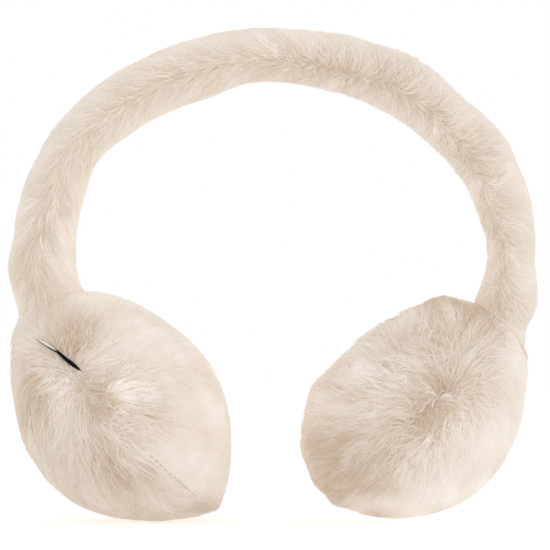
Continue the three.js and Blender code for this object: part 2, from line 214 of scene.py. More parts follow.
@dataclass(frozen=True)
class Spot:
    """A round spot of the front.

    Args:
        x: place of its middle across the front.
        z: height of its middle.
        radius: how far it reaches.
    """

    x: float
    z: float
    radius: float

    def nearness(self, places: np.ndarray) -> np.ndarray:
        """How near places are to its middle, from 0 to 1, one value a row."""
        offset = places[:, (0, 2)] - (self.x, self.z)
        return np.exp(-((offset / self.radius) ** 2).sum(-1))


@dataclass(frozen=True)
class ShadeAndTonePatch(Spot):
    """A spot where the hair is whiter or more tan; the tan spots are painted shade in necks, creases and
    lower corners.

    Args:
        tone: what it adds to the tone, less than 0 for tan, which is painted shade.
    """

    tone: float

    def at(self, places: np.ndarray) -> np.ndarray:
        """What it adds to the tone at places."""
        return self.tone * self.nearness(places) * smooth(-places[:, 1], 0, 10)


@dataclass(frozen=True)
class Lump(Spot):
    """A spot where the fur stands out further.

    Args:
        push: how far the fur stands out, less than 0 for a dip.
    """

    push: float

    def at(self, places: np.ndarray) -> np.ndarray:
        """How far it pushes the skin out at places, one row each."""
        return self.push * self.nearness(places)[:, None]


class Skin:
    """The fur line of a part: the smooth surface that the tips of the hair make."""

    def on(self, near: np.ndarray) -> tuple[np.ndarray, np.ndarray]:
        """The places of the skin by the given ones, and their normals."""
        raise NotImplementedError

    def nap(self, places: np.ndarray, normals: np.ndarray) -> np.ndarray:
        """The direction in which the hair lies at places of the skin."""
        raise NotImplementedError

    def unrest(self, places: np.ndarray) -> np.ndarray:
        """How ruffled the hair is, from 0 to 1."""
        raise NotImplementedError

    def tone(self, places: np.ndarray) -> np.ndarray:
        """The mean tone of the hair, from 0, tan, to 1, white."""
        raise NotImplementedError

    def seam(self, places: np.ndarray) -> np.ndarray:
        """How near places are to a seam that shows, from 0 to 1."""
        return np.zeros(places.shape[:-1])

    def hold(self, places: np.ndarray) -> np.ndarray:
        """How much the hair keeps from gathering in locks, from 0 to 1."""
        return np.zeros(places.shape[:-1])

    def inside(self, places: np.ndarray, margin: float) -> np.ndarray:
        """Which places lie deeper in the part than the margin."""
        raise NotImplementedError


@dataclass
class Cup(Skin):
    """A round cup of two domes, sewn along the rim.

    Args:
        side: -1 on the label's side and 1 on the other.
        tilt: degrees that the ear side looks up.
        turn: degrees that the ear side looks to the front.
        rim: rim radius as a share of the cup radius.
        inset: how far the cup sits inside the arch, as a share of the cup radius.
        reach: height of the inner and outer dome as shares of the cup reach.
        fullness: exponent of the inner and outer dome, smaller for a fuller one.
        skew: how much less that is for their upper ends, and more for their lower ones.
        tones_with_painted_shade: mean tone of each panel, 0 tan to 1 white, painted lower on the shaded one.
        shade_and_tone_patches: spots of another tone, the tan ones painted shade.
        lumps: places where the fur stands out further.
        whorl: where the hair parts at the front, from its lower to its upper end, up along the rim, as
            shares of the radius, and how far it lies from the rim towards the ear.
        stitched: the part of the rim whose stitches show, in degrees down from the front.
        swirl: how much the nap turns round the whorl.
        droop: how much the outer panel's hair hangs, away from the whorl.
        trim: how much of the radius is missing at the lowest part of the rim.
    """

    side: int
    tilt: float
    turn: float
    rim: float
    inset: float
    reach: dict[Face, float]
    fullness: dict[Face, float]
    skew: dict[Face, float]
    tones_with_painted_shade: dict[Face, float]
    shade_and_tone_patches: tuple[ShadeAndTonePatch, ...]
    lumps: tuple[Lump, ...]
    whorl: tuple[float, float, float]
    stitched: tuple[float, float]
    swirl: float = 0.0
    droop: float = 0.0
    trim: float = 0.0
    ear: np.ndarray = field(init=False)
    down: np.ndarray = field(init=False)
    front: np.ndarray = field(init=False)

    def __post_init__(self) -> None:
        """Works out the cup's own directions and its middle."""
        tilt, turn = math.radians(self.tilt), math.radians(self.turn)
        facing = np.array([-self.side * math.cos(turn), -math.sin(turn), 0.0])
        self.ear = facing * math.cos(tilt) + UP * math.sin(tilt)
        self.down = facing * math.sin(tilt) - UP * math.cos(tilt)
        self.front = np.array([self.side * math.sin(turn), -math.cos(turn), 0.0])
        self.radius = self.rim * CUP_RADIUS
        across = self.side * (ARCH_HALF_SPAN - self.inset * CUP_RADIUS)
        self.middle = np.array([across, 0.0, CUP_MIDDLE_HEIGHT]) + CENTRING

    def place(self, front: np.ndarray, down: np.ndarray, ear: np.ndarray) -> np.ndarray:
        """Places from their distances to the front, down the rim and to the ear."""
        in_rim = self.middle + np.multiply.outer(front, self.front) + np.multiply.outer(down, self.down)
        return in_rim + np.multiply.outer(ear, self.ear)

    def panel(self, face: Face, count: int, rng: np.random.Generator) -> np.ndarray:
        """Places spread evenly over one panel.

        Args:
            face: which panel.
            count: how many.
            rng: source of the spread.

        Returns:
            The places, one a row.
        """
        steps = np.linspace(0, math.pi / 2, 200)
        out = self.radius * np.sin(steps)
        up = self.reach[face] * CUP_REACH * np.cos(steps) ** (2 * self.fullness[face])
        bands = np.hypot(np.diff(out), np.diff(up)) * (out[1:] + out[:-1])
        cover = np.concatenate([[0], np.cumsum(bands)]) / bands.sum()
        rank = (np.arange(count) + rng.uniform(0, 1, count)) / count
        angle = np.arange(count) * math.pi * GOLDEN_TURN + rng.normal(0, ROOT_JITTER, count)
        away = np.interp(rank, cover, out)
        height = np.interp(rank, cover, up) * face.value
        return self.place(away * np.cos(angle), away * np.sin(angle), height)

    def form(self, places: np.ndarray) -> tuple[np.ndarray, np.ndarray, np.ndarray, np.ndarray]:
        """Places from the middle: the part in the rim plane, the height, its reach and its sharpness."""
        offset = places - self.middle
        height = dots(offset, self.ear)
        inner = height > 0
        reach = np.where(inner, self.reach[Face.INNER], self.reach[Face.OUTER]) * CUP_REACH
        flat = offset - height * self.ear
        fullness = np.where(inner, self.fullness[Face.INNER], self.fullness[Face.OUTER])
        skew = np.where(inner, self.skew[Face.INNER], self.skew[Face.OUTER])
        return flat, height, reach, 1 / (fullness + skew * dots(unit(flat), self.down))

    def rim_at(self, flat: np.ndarray) -> np.ndarray:
        """The rim radius in the directions of places in the rim plane."""
        return self.radius * (1 - self.trim * smooth(dots(unit(flat), self.down), 0.5, 1.0))

    def on(self, near: np.ndarray) -> tuple[np.ndarray, np.ndarray]:
        """The places of the skin on the lines from the middle through the given ones, and their normals."""
        flat, height, reach, sharpness = self.form(near)
        radius = self.rim_at(flat)
        rim_part = np.linalg.norm(flat, axis=-1, keepdims=True) / radius
        top_part = np.abs(height) / reach
        low, high = np.zeros_like(rim_part), np.full_like(rim_part, SKIN_SEARCH)
        for _ in range(SKIN_HALVINGS):
            size = (low + high) / 2
            within = (size * rim_part) ** 2 + (size * top_part) ** sharpness < 1
            low, high = np.where(within, size, low), np.where(within, high, size)
        slope = sharpness * np.maximum(low * top_part, 0.01) ** (sharpness - 1) / reach
        normal = flat * 2 * low / radius**2 + slope * np.tanh(low * height / SEAM_ROUNDING) * self.ear
        place, normal = self.middle + low * (flat + height * self.ear), unit(normal)
        return place + sum(lump.at(place) for lump in self.lumps) * normal, normal

    def from_whorl(self, places: np.ndarray) -> np.ndarray:
        """The way to places from the nearest point of the whorl."""
        low, high, aside = self.whorl
        offset = places - self.middle - self.front * self.radius - self.ear * aside
        up = np.clip(dots(offset, -self.down), low * self.radius, high * self.radius)
        return offset + up * self.down

    def nap(self, places: np.ndarray, normals: np.ndarray) -> np.ndarray:
        """Away from the whorl at the front, with a slight turn round it, and down the back."""
        frontness = dots(places - self.middle, self.front) / self.radius
        from_whorl = smooth(frontness, *FRONT_EDGES)
        away = self.from_whorl(places)
        far = smooth(np.linalg.norm(away, axis=-1, keepdims=True), *DROOP_FROM_WHORL)
        outer = smooth(-dots(places - self.middle, self.ear), *DROOP_FROM_SEAM)
        away = unit(away)
        away = unit(away + self.swirl * np.cross(self.front, away) - self.droop * far * outer * UP)
        heading = away * from_whorl + self.down * (HANG - from_whorl)
        return unit(heading - dots(heading, normals) * normals)

    def unrest(self, places: np.ndarray) -> np.ndarray:
        """How ruffled the hair is, from 1 at the whorl to 0 well away from it."""
        return np.exp(-((np.linalg.norm(self.from_whorl(places), axis=-1) / WHORL_REACH) ** 2))

    def tone(self, places: np.ndarray) -> np.ndarray:
        """Panel tones with painted shade, blended over the seam, plus the patches of shade and tone."""
        inner, outer = self.tones_with_painted_shade[Face.INNER], self.tones_with_painted_shade[Face.OUTER]
        side = np.tanh(dots(places - self.middle, self.ear)[:, 0] / TONE_BLEND)
        spots = sum(patch.at(places) for patch in self.shade_and_tone_patches)
        return (inner + outer) / 2 + side * (inner - outer) / 2 + spots

    def seam(self, places: np.ndarray) -> np.ndarray:
        """How near places are to the rim seam, and 0 where its stitches don't show."""
        offset = places - self.middle
        low, high = (math.sin(math.radians(angle)) for angle in self.stitched)
        down = dots(unit(offset), self.down)[..., 0]
        shown = smooth(down, low - 0.08, low + 0.04) * (1 - smooth(down, high - 0.04, high + 0.08))
        return shown * np.exp(-((dots(offset, self.ear)[..., 0] / SEAM_WIDTH) ** 2))

    def hold(self, places: np.ndarray) -> np.ndarray:
        """How much the hair keeps from gathering in locks, by the rim seam."""
        return np.exp(-((dots(places - self.middle, self.ear)[..., 0] / HOLD_WIDTH) ** 2))

    def inside(self, places: np.ndarray, margin: float) -> np.ndarray:
        """Which places lie deeper in the cup than the margin."""
        flat, height, reach, sharpness = self.form(places)
        rim_part = np.linalg.norm(flat, axis=-1, keepdims=True) / (self.rim_at(flat) - margin)
        return ((rim_part**2 + (np.abs(height) / (reach - margin)) ** sharpness) < 1)[:, 0]


@dataclass
class Sleeve(Skin):
    """The fur sleeve along the arch, from the middle of one cup's upper rim to the other's.

    Args:
        left: the cup at its start.
        right: the cup at its end.
        ends: where it starts and ends, up along each rim and across it, as shares of the cup radius.
        stations: rows of share of the length, thickness as a share of the nominal, lean of the nap along
            the sleeve, how far the parting runs inside the middle of the front, and how far the middle line
            lies outside the arch.
        shade_and_tone_patches: spots of another tone, here painted shade where the sleeve meets the cups.
        lumps: places where the fur stands out further.
    """

    left: Cup
    right: Cup
    ends: tuple[tuple[float, float], tuple[float, float]]
    stations: np.ndarray
    shade_and_tone_patches: tuple[ShadeAndTonePatch, ...]
    lumps: tuple[Lump, ...]

    def __post_init__(self) -> None:
        """Lays the middle line through both necks and over the arch."""
        turns = np.linspace(math.pi, 0, 13)
        arch = np.column_stack(
            [
                ARCH_HALF_SPAN * np.cos(turns),
                0 * turns,
                CUP_MIDDLE_HEIGHT + CUP_DROP + ARCH_RISE * np.sin(turns),
            ]
        )
        arch = arch + CENTRING
        start, end = (
            cup.middle - cup.down * up * cup.radius + cup.ear * across * cup.radius
            for cup, (up, across) in zip((self.left, self.right), self.ends)
        )
        start[1] = end[1] = CENTRING[1]
        line = through(np.vstack([start, arch, end]), 500)
        outward = np.cross(unit(np.gradient(line, axis=0)), BACK)
        self.line = line + self.station(np.linspace(0, 1, len(line)), Column.OUTSIDE)[:, None] * outward
        self.length = float(np.linalg.norm(np.diff(self.line, axis=0), axis=1).sum())
        self.along = unit(np.gradient(self.line, axis=0))
        self.outward = np.cross(self.along, BACK)

    def station(self, share: np.ndarray, column: Column) -> np.ndarray:
        """One column of the station table at shares of the length, blended smoothly."""
        at = self.stations[:, Column.SHARE]
        place = np.clip(np.searchsorted(at, share) - 1, 0, len(at) - 2)
        blend = smooth((share - at[place]) / (at[place + 1] - at[place]), 0, 1)
        values = self.stations[:, column]
        return values[place] + (values[place + 1] - values[place]) * blend

    def section(self, share: np.ndarray) -> tuple[np.ndarray, np.ndarray]:
        """Half the thickness and half the depth of the sleeve at shares of its length."""
        to_end = np.minimum(share, 1 - share) * self.length / SLEEVE_END_ROUNDING
        rounding = np.sqrt(1 - (1 - np.clip(to_end, 0, 1)) ** 2)
        thickness = self.station(share, Column.THICKNESS) * SLEEVE_THICKNESS / 2
        return thickness * rounding, np.full_like(share, SLEEVE_DEPTH / 2) * rounding

    def read(self, places: np.ndarray) -> tuple[np.ndarray, np.ndarray, np.ndarray]:
        """Shares of the length, and offsets outward and to the back, of places near the sleeve."""
        nearest = np.concatenate(
            [
                np.argmin(((part[:, None, :] - self.line[None, ::5, :]) ** 2).sum(-1), axis=1) * 5
                for part in np.array_split(places, max(1, len(places) // 4000))
            ]
        )
        offset = places - self.line[nearest]
        step = dots(offset, self.along[nearest])[:, 0]
        share = np.clip(nearest / (len(self.line) - 1) + step / self.length, 0, 1)
        middle, outward = self.middle_at(share)
        offset = places - middle
        return share, dots(offset, outward)[:, 0], offset[:, 1]

    def middle_at(self, share: np.ndarray) -> tuple[np.ndarray, np.ndarray]:
        """The middle line and the outward direction at shares of the length."""
        index = share * (len(self.line) - 1)
        rows = np.arange(len(self.line))
        middle = np.column_stack([np.interp(index, rows, column) for column in self.line.T])
        outward = unit(np.column_stack([np.interp(index, rows, column) for column in self.outward.T]))
        return middle, outward

    def skin_at(self, share: np.ndarray, angle: np.ndarray) -> tuple[np.ndarray, np.ndarray]:
        """The skin at shares of the length and angles, from 0 on the outside, negative at the front."""
        middle, outward = self.middle_at(share)
        half_thickness, half_depth = self.section(share)
        out = np.cos(angle)
        back = np.sin(angle)
        place = middle + (half_thickness * out)[:, None] * outward + (half_depth * back)[:, None] * BACK
        normal = unit((out * half_depth)[:, None] * outward + (back * half_thickness)[:, None] * BACK)
        return place + sum(lump.at(place) for lump in self.lumps) * normal, normal

    def scatter_between(self, low: float, high: float, count: int, rng: np.random.Generator) -> np.ndarray:
        """Places spread evenly over the skin between two shares of the length."""
        turns = np.linspace(-math.pi, math.pi, 200)
        lengths = np.hypot(SLEEVE_THICKNESS / 2 * np.sin(turns), SLEEVE_DEPTH / 2 * np.cos(turns))
        cover = np.cumsum(lengths) / lengths.sum()
        rank = (np.arange(count) * GOLDEN_SHARE) % 1
        angle = np.interp(rank, cover, turns) + rng.normal(0, ROOT_JITTER, count)
        share = low + (high - low) * (np.arange(count) + rng.uniform(0, 1, count)) / count
        return self.skin_at(share, angle)[0]

    def on(self, near: np.ndarray) -> tuple[np.ndarray, np.ndarray]:
        """The places of the skin by the given ones, and their normals."""
        share, out, back = self.read(near)
        return self.skin_at(share, self.angle_of(share, out, back))

    def angle_of(self, share: np.ndarray, out: np.ndarray, back: np.ndarray) -> np.ndarray:
        """Angles round the sleeve of offsets outward and to the back, from 0 on the outside."""
        half_thickness, half_depth = (np.maximum(half, LEAST_HALF) for half in self.section(share))
        return np.arctan2(back / half_depth, out / half_thickness)

    def from_parting(self, share: np.ndarray, out: np.ndarray, back: np.ndarray) -> np.ndarray:
        """Angles round the sleeve from the parting, positive towards the outside of the arch."""
        half_thickness = np.maximum(self.section(share)[0], LEAST_HALF)
        inward = np.clip(self.station(share, Column.PARTING) / half_thickness, -0.95, 0.95)
        parting = -math.pi / 2 - np.arcsin(inward)
        return (self.angle_of(share, out, back) - parting + math.pi) % math.tau - math.pi

    def nap(self, places: np.ndarray, normals: np.ndarray) -> np.ndarray:
        """Round the sleeve from the parting, leaning along it, and to the nearer cup at the back."""
        share, out, back = self.read(places)
        turned = self.from_parting(share, out, back)
        index = np.clip(np.round(share * (len(self.line) - 1)).astype(int), 0, len(self.line) - 1)
        along = self.along[index]
        near_parting = 1 - smooth(np.abs(turned), *PARTING_EDGES)
        near_back = np.sin(turned / 2) ** 4
        nearer = smooth(share, *CROWN) * 2 - 1
        lean = self.station(share, Column.LEAN) + nearer * (0.5 * near_parting + near_back)
        spread = np.tanh(turned * 4) * np.cos(turned / 2)
        around = np.cross(normals, along)
        heading = along * lean[:, None] + around * spread[:, None]
        return unit(heading - dots(heading, normals) * normals)

    def unrest(self, places: np.ndarray) -> np.ndarray:
        """How ruffled the hair is, from 1 at the parting to 0 well away from it."""
        share, out, back = self.read(places)
        return np.exp(-((self.from_parting(share, out, back) / PARTING_REACH) ** 2))

    def tone(self, places: np.ndarray) -> np.ndarray:
        """The same mean tone all along, with the patches of painted shade."""
        return SLEEVE_TONE + sum(patch.at(places) for patch in self.shade_and_tone_patches)

    def inside(self, places: np.ndarray, margin: float) -> np.ndarray:
        """Which places lie deeper in the sleeve than the margin."""
        share, out, back = self.read(places)
        half_thickness, half_depth = self.section(share)
        return np.hypot(
            out / np.maximum(half_thickness - margin, LEAST_HALF),
            back / np.maximum(half_depth - margin, LEAST_HALF),
        ) < 1


@dataclass(frozen=True)
class Coat:
    """How the hair of one piece is combed.

    Args:
        length: of a hair.
        lock: spacing of the locks that the hair gathers in.
        gather: how far the tips of a lock come together, from 0 to 1.
        furrow: depth between the locks.
        wave: how far the locks bend from side to side, as a share of their way.
        shag: how much of the locks shows where the hair isn't ruffled, from 0 to 1.
        seed: its own random seed.
        stray: how far a hair leaves the nap, as a share of its way.
        ruffle: how much further it leaves it where the hair is ruffled.
        root_depth: depth of the roots below the fur line.
        hairs: how many roots are spread, before those inside another part are left out.
        width: of a hair at its widest.
    """

    length: float
    lock: float
    gather: float
    furrow: float
    wave: float
    shag: float
    seed: int
    stray: float = 0.12
    ruffle: float = 0.6
    root_depth: float = 4.5
    hairs: int = 31000
    width: float = 0.5


@dataclass
class Hair:
    """Combed hair: the joints of every hair, the normals of its lock there, and the tone of every hair."""

    joints: np.ndarray
    normals: np.ndarray
    tone: np.ndarray


class Comb:
    """Lays hair along a skin."""

    def __init__(self, skin: Skin, coat: Coat) -> None:
        """Takes the skin and the coat to lay on it."""
        self.skin = skin
        self.coat = coat
        self.rng = np.random.default_rng(coat.seed)
        self.bends = Swell(BEND_SIZE, coat.seed + 1)
        self.phases = Swell(WAVE_SIZE, coat.seed + 2)

    def walk(
        self, roots: np.ndarray, lengths: np.ndarray, drift: np.ndarray
    ) -> tuple[np.ndarray, np.ndarray]:
        """Follows the nap over the skin.

        Args:
            roots: where the hairs start.
            lengths: how far they go.
            drift: the angle at which each leaves the nap.

        Returns:
            The places of the joints and the normals there, with the joints along the second axis.
        """
        place, normal = self.skin.on(roots)
        bend = self.bends.at(place)
        phase = self.phases.at(place) * 2
        places, normals = [place], [normal]
        for step in range(SEGMENTS):
            heading = self.skin.nap(place, normal)
            across = np.cross(normal, heading)
            swing = self.coat.wave * bend * np.cos(phase + step * math.tau / SEGMENTS * WAVE_TURNS) + drift
            stride = (lengths / SEGMENTS)[:, None]
            heading = heading * np.cos(swing)[:, None] + across * np.sin(swing)[:, None]
            place, normal = self.skin.on(place + stride * heading)
            places.append(place)
            normals.append(normal)
        return np.stack(places, axis=1), np.stack(normals, axis=1)

    def sink(self, places: np.ndarray, normals: np.ndarray, depth: np.ndarray) -> np.ndarray:
        """Joints at their depths below the fur line."""
        return places - depth[..., None] * normals

    def lay(self, roots: np.ndarray) -> Hair:
        """Combs hair from its roots into locks.

        Args:
            roots: places on the skin, one a hair.

        Returns:
            The laid hair.
        """
        coat, rng = self.coat, self.rng
        count = len(roots)
        share = np.linspace(0, 1, SEGMENTS + 1)
        unrest = self.skin.unrest(roots)
        loose = rng.uniform(0, 1, count) < coat.ruffle * unrest
        lengths = coat.length * rng.uniform(*LENGTH_SPREAD, count)
        lengths = lengths * np.where(loose, LOOSE_LENGTH, 1 - 0.3 * unrest)
        stray = rng.normal(0, 1, count) * (coat.stray + 0.3 * coat.ruffle * unrest)
        stray = np.where(loose, rng.uniform(-LOOSE_TURN, LOOSE_TURN, count), stray)
        places, normals = self.walk(roots, lengths, stray)
        lying = np.abs(rng.normal(0.0, TIP_DEPTH, count))
        root_depth = coat.root_depth * np.where(loose, LOOSE_DEPTH, 1.0)
        depth = root_depth[:, None] * (1 - share) ** 2 + lying[:, None] * share
        shag = np.where(loose, LOOSE_SHAG, coat.shag + 0.6 * (1 - coat.shag) * unrest)[:, None]
        shag = shag * (1 - 0.75 * self.skin.hold(roots))[:, None]
        tufts = Swell(TUFT_SIZE, coat.seed + 4).at(roots)
        tone = self.skin.tone(roots) + TONE_SWELL * Swell(TONE_SIZE, coat.seed + 3).at(roots)
        tone = tone + rng.normal(0, TONE_SPREAD, count)
        # painted shade: the hair at the whorl and the parting is darker, with whiter tufts among it
        tone = tone + unrest * (0.24 * tufts - 0.08) - 0.2 * unrest**4
        levels = (
            (coat.lock, coat.gather, coat.furrow),
            (coat.lock * 0.4, coat.gather, coat.furrow / 3),
            (coat.lock * 0.15, 0.6, 0.0),
        )
        gathered = np.zeros_like(places)
        bulge = np.zeros_like(places)
        for spacing, gather, furrow in levels:
            leaders = roots[rng.permutation(count)[: max(8, int(count * self.share_of(spacing, roots)))]]
            tree = tree_of(leaders)
            jittered = roots + rng.normal(0, LOCK_JITTER * spacing, roots.shape)
            found = [tree.find(Vector(root))[1:] for root in jittered]
            leader_of = np.array([index for index, _ in found])
            edge = np.clip(np.array([away for _, away in found]) / (LOCK_EDGE * spacing), 0, 1)
            ways, _ = self.walk(leaders, np.full(len(leaders), coat.length), np.zeros(len(leaders)))
            pull = (gather * shag * share**1.3)[:, :, None]
            from_middle = places - ways[leader_of]
            gathered -= pull * from_middle
            bulge += 0.5 * furrow * shag[:, :, None] * from_middle / spacing
            depth = depth + shag * furrow * (edge**2)[:, None] * np.sin(share * math.pi * 0.8)[None, :]
            # painted shade in the valleys between the locks
            tone = tone - FURROW_SHADE * shag[:, 0] * furrow / coat.furrow * edge**2
        closer = self.skin.on((places + gathered).reshape(-1, 3))[0].reshape(places.shape)
        joints = self.sink(closer, normals, depth + SEAM_DIP * self.skin.seam(closer))
        return Hair(joints, unit(normals + bulge), np.clip(tone, 0, 1))

    def share_of(self, spacing: float, roots: np.ndarray) -> float:
        """The share of the hairs that lead a lock, for locks of this spacing."""
        sample = roots[:: max(1, len(roots) // 3000)]
        tree = tree_of(sample)
        gap = float(np.mean([tree.find_n(Vector(root), 2)[1][2] for root in sample]))
        return min(0.5, len(sample) / len(roots) * (gap * 2 / spacing) ** 2)


@dataclass(frozen=True)
class Grain:
    """A node group of soft mottling that the padding and the stage share."""

    name: str = "soft_grain"

    def group(self) -> bpy.types.NodeTree:
        """Builds the group once, and then finds it."""
        if self.name in bpy.data.node_groups:
            return bpy.data.node_groups[self.name]
        tree = bpy.data.node_groups.new(self.name, "ShaderNodeTree")
        for label, kind in (
            ("Dark", "NodeSocketColor"),
            ("Light", "NodeSocketColor"),
            ("Scale", "NodeSocketFloat"),
        ):
            tree.interface.new_socket(label, in_out="INPUT", socket_type=kind)
        for label, kind in (("Colour", "NodeSocketColor"), ("Height", "NodeSocketFloat")):
            tree.interface.new_socket(label, in_out="OUTPUT", socket_type=kind)
        nodes, links = tree.nodes, tree.links
        given, put = nodes.new("NodeGroupInput"), nodes.new("NodeGroupOutput")
        where = nodes.new("ShaderNodeTexCoord")
        coarse, fine = nodes.new("ShaderNodeTexNoise"), nodes.new("ShaderNodeTexNoise")
        coarse.inputs["Detail"].default_value = 5
        fine.inputs["Detail"].default_value = 2
        finer = nodes.new("ShaderNodeMath")
        finer.operation = "MULTIPLY"
        finer.inputs[1].default_value = 9
        mix = nodes.new("ShaderNodeMix")
        mix.data_type = "RGBA"
        both = nodes.new("ShaderNodeMath")
        both.operation = "ADD"
        for noise in (coarse, fine):
            links.new(where.outputs["Object"], noise.inputs["Vector"])
        links.new(given.outputs["Scale"], coarse.inputs["Scale"])
        links.new(given.outputs["Scale"], finer.inputs[0])
        links.new(finer.outputs[0], fine.inputs["Scale"])
        links.new(coarse.outputs["Fac"], mix.inputs["Factor"])
        links.new(given.outputs["Dark"], mix.inputs["A"])
        links.new(given.outputs["Light"], mix.inputs["B"])
        links.new(coarse.outputs["Fac"], both.inputs[0])
        links.new(fine.outputs["Fac"], both.inputs[1])
        links.new(mix.outputs["Result"], put.inputs["Colour"])
        links.new(both.outputs[0], put.inputs["Height"])
        return tree


@dataclass(frozen=True)
class GrainFinish:
    """A matt finish with soft mottling and a fine bump.

    Args:
        name: of the material.
        dark: colour code of its darker mottles.
        light: colour code of its lighter mottles.
        scale: mottles to the metre.
        bump: height of the bump in metres.
        roughness: of the surface.
        sheen: weight of its soft sheen.
        glow: light that it gives off.
    """

    name: str
    dark: int
    light: int
    scale: float
    bump: float
    roughness: float
    sheen: float = 0.0
    glow: float = 0.0

    def material(self) -> bpy.types.Material:
        """Builds the material."""
        material = bpy.data.materials.new(self.name)
        material.use_nodes = True
        nodes, links = material.node_tree.nodes, material.node_tree.links
        shader = nodes["Principled BSDF"]
        shader.inputs["Roughness"].default_value = self.roughness
        shader.inputs["Specular IOR Level"].default_value = 0.15
        shader.inputs["Sheen Weight"].default_value = self.sheen
        shader.inputs["Emission Color"].default_value = linear(self.light)
        shader.inputs["Emission Strength"].default_value = self.glow
        grain = nodes.new("ShaderNodeGroup")
        grain.node_tree = Grain().group()
        grain.inputs["Dark"].default_value = linear(self.dark)
        grain.inputs["Light"].default_value = linear(self.light)
        grain.inputs["Scale"].default_value = self.scale
        bump = nodes.new("ShaderNodeBump")
        bump.inputs["Distance"].default_value = self.bump
        links.new(grain.outputs["Colour"], shader.inputs["Base Color"])
        links.new(grain.outputs["Height"], bump.inputs["Height"])
        links.new(bump.outputs["Normal"], shader.inputs["Normal"])
        return material


@dataclass(frozen=True)
class FurFinish:
    """The colours of hair, from its root to its tip, for tan hair and for white hair.

    Args:
        name: of the material.
        tan: colour codes from root to tip of the tan hair.
        white: colour codes from root to tip of the white hair.
        roughness: of the hair.
        glow: painted light, an emission in the hair's own colour that lifts the shade between the hairs.
    """

    name: str
    tan: tuple[int, int, int]
    white: tuple[int, int, int]
    roughness: float = 0.62
    glow: float = 0.38

    def material(self) -> bpy.types.Material:
        """Builds the material, which reads the hair's own shade map."""
        material = bpy.data.materials.new(self.name)
        material.use_nodes = True
        nodes, links = material.node_tree.nodes, material.node_tree.links
        shader = nodes["Principled BSDF"]
        shader.inputs["Specular IOR Level"].default_value = 0.25
        shader.inputs["Sheen Weight"].default_value = 0.1
        # painted light: the hair glows a little, lifting the shade between hairs
        shader.inputs["Emission Strength"].default_value = self.glow
        where, split = nodes.new("ShaderNodeUVMap"), nodes.new("ShaderNodeSeparateXYZ")
        where.uv_map = SHADE_MAP
        links.new(where.outputs["UV"], split.inputs["Vector"])
        mix = nodes.new("ShaderNodeMix")
        mix.data_type = "RGBA"
        for socket, codes in (("A", self.tan), ("B", self.white)):
            ramp = nodes.new("ShaderNodeValToRGB")
            ramp.color_ramp.elements.new(0.45)
            for element, spot, code in zip(ramp.color_ramp.elements, (0.0, 0.45, 1.0), codes):
                element.position = spot
                element.color = linear(code)
            links.new(split.outputs["Y"], ramp.inputs["Fac"])
            links.new(ramp.outputs["Color"], mix.inputs[socket])
        links.new(split.outputs["X"], mix.inputs["Factor"])
        links.new(mix.outputs["Result"], shader.inputs["Base Color"])
        # the painted glow takes the hair's own colour
        links.new(mix.outputs["Result"], shader.inputs["Emission Color"])
        gloss = nodes.new("ShaderNodeMapRange")
        gloss.inputs["To Min"].default_value = self.roughness + 0.2
        gloss.inputs["To Max"].default_value = self.roughness
        links.new(split.outputs["Y"], gloss.inputs["Value"])
        links.new(gloss.outputs["Result"], shader.inputs["Roughness"])
        return material


def mesh_piece(
    name: str, vertices: np.ndarray, triangles: np.ndarray, shades: np.ndarray
) -> bpy.types.Object:
    """Makes a piece from rows of millimetre places, triangles and the shade map of each corner.

    Args:
        name: of the piece.
        vertices: places, one a row.
        triangles: three vertex numbers a row.
        shades: two shade map values for each vertex.

    Returns:
        The new piece, at the origin.
    """
    mesh = bpy.data.meshes.new(name)
    mesh.vertices.add(len(vertices))
    mesh.vertices.foreach_set("co", (vertices * MM).astype(np.float32).ravel())
    mesh.loops.add(triangles.size)
    mesh.loops.foreach_set("vertex_index", triangles.astype(np.int32).ravel())
    mesh.polygons.add(len(triangles))
    mesh.polygons.foreach_set("loop_start", np.arange(0, triangles.size, 3, dtype=np.int32))
    mesh.polygons.foreach_set("use_smooth", np.ones(len(triangles), dtype=bool))
    mesh.update(calc_edges=True)
    layer = mesh.uv_layers.new(name=SHADE_MAP)
    layer.uv.foreach_set("vector", shades[triangles.ravel()].astype(np.float32).ravel())
    piece = bpy.data.objects.new(name, mesh)
    bpy.context.scene.collection.objects.link(piece)
    return piece


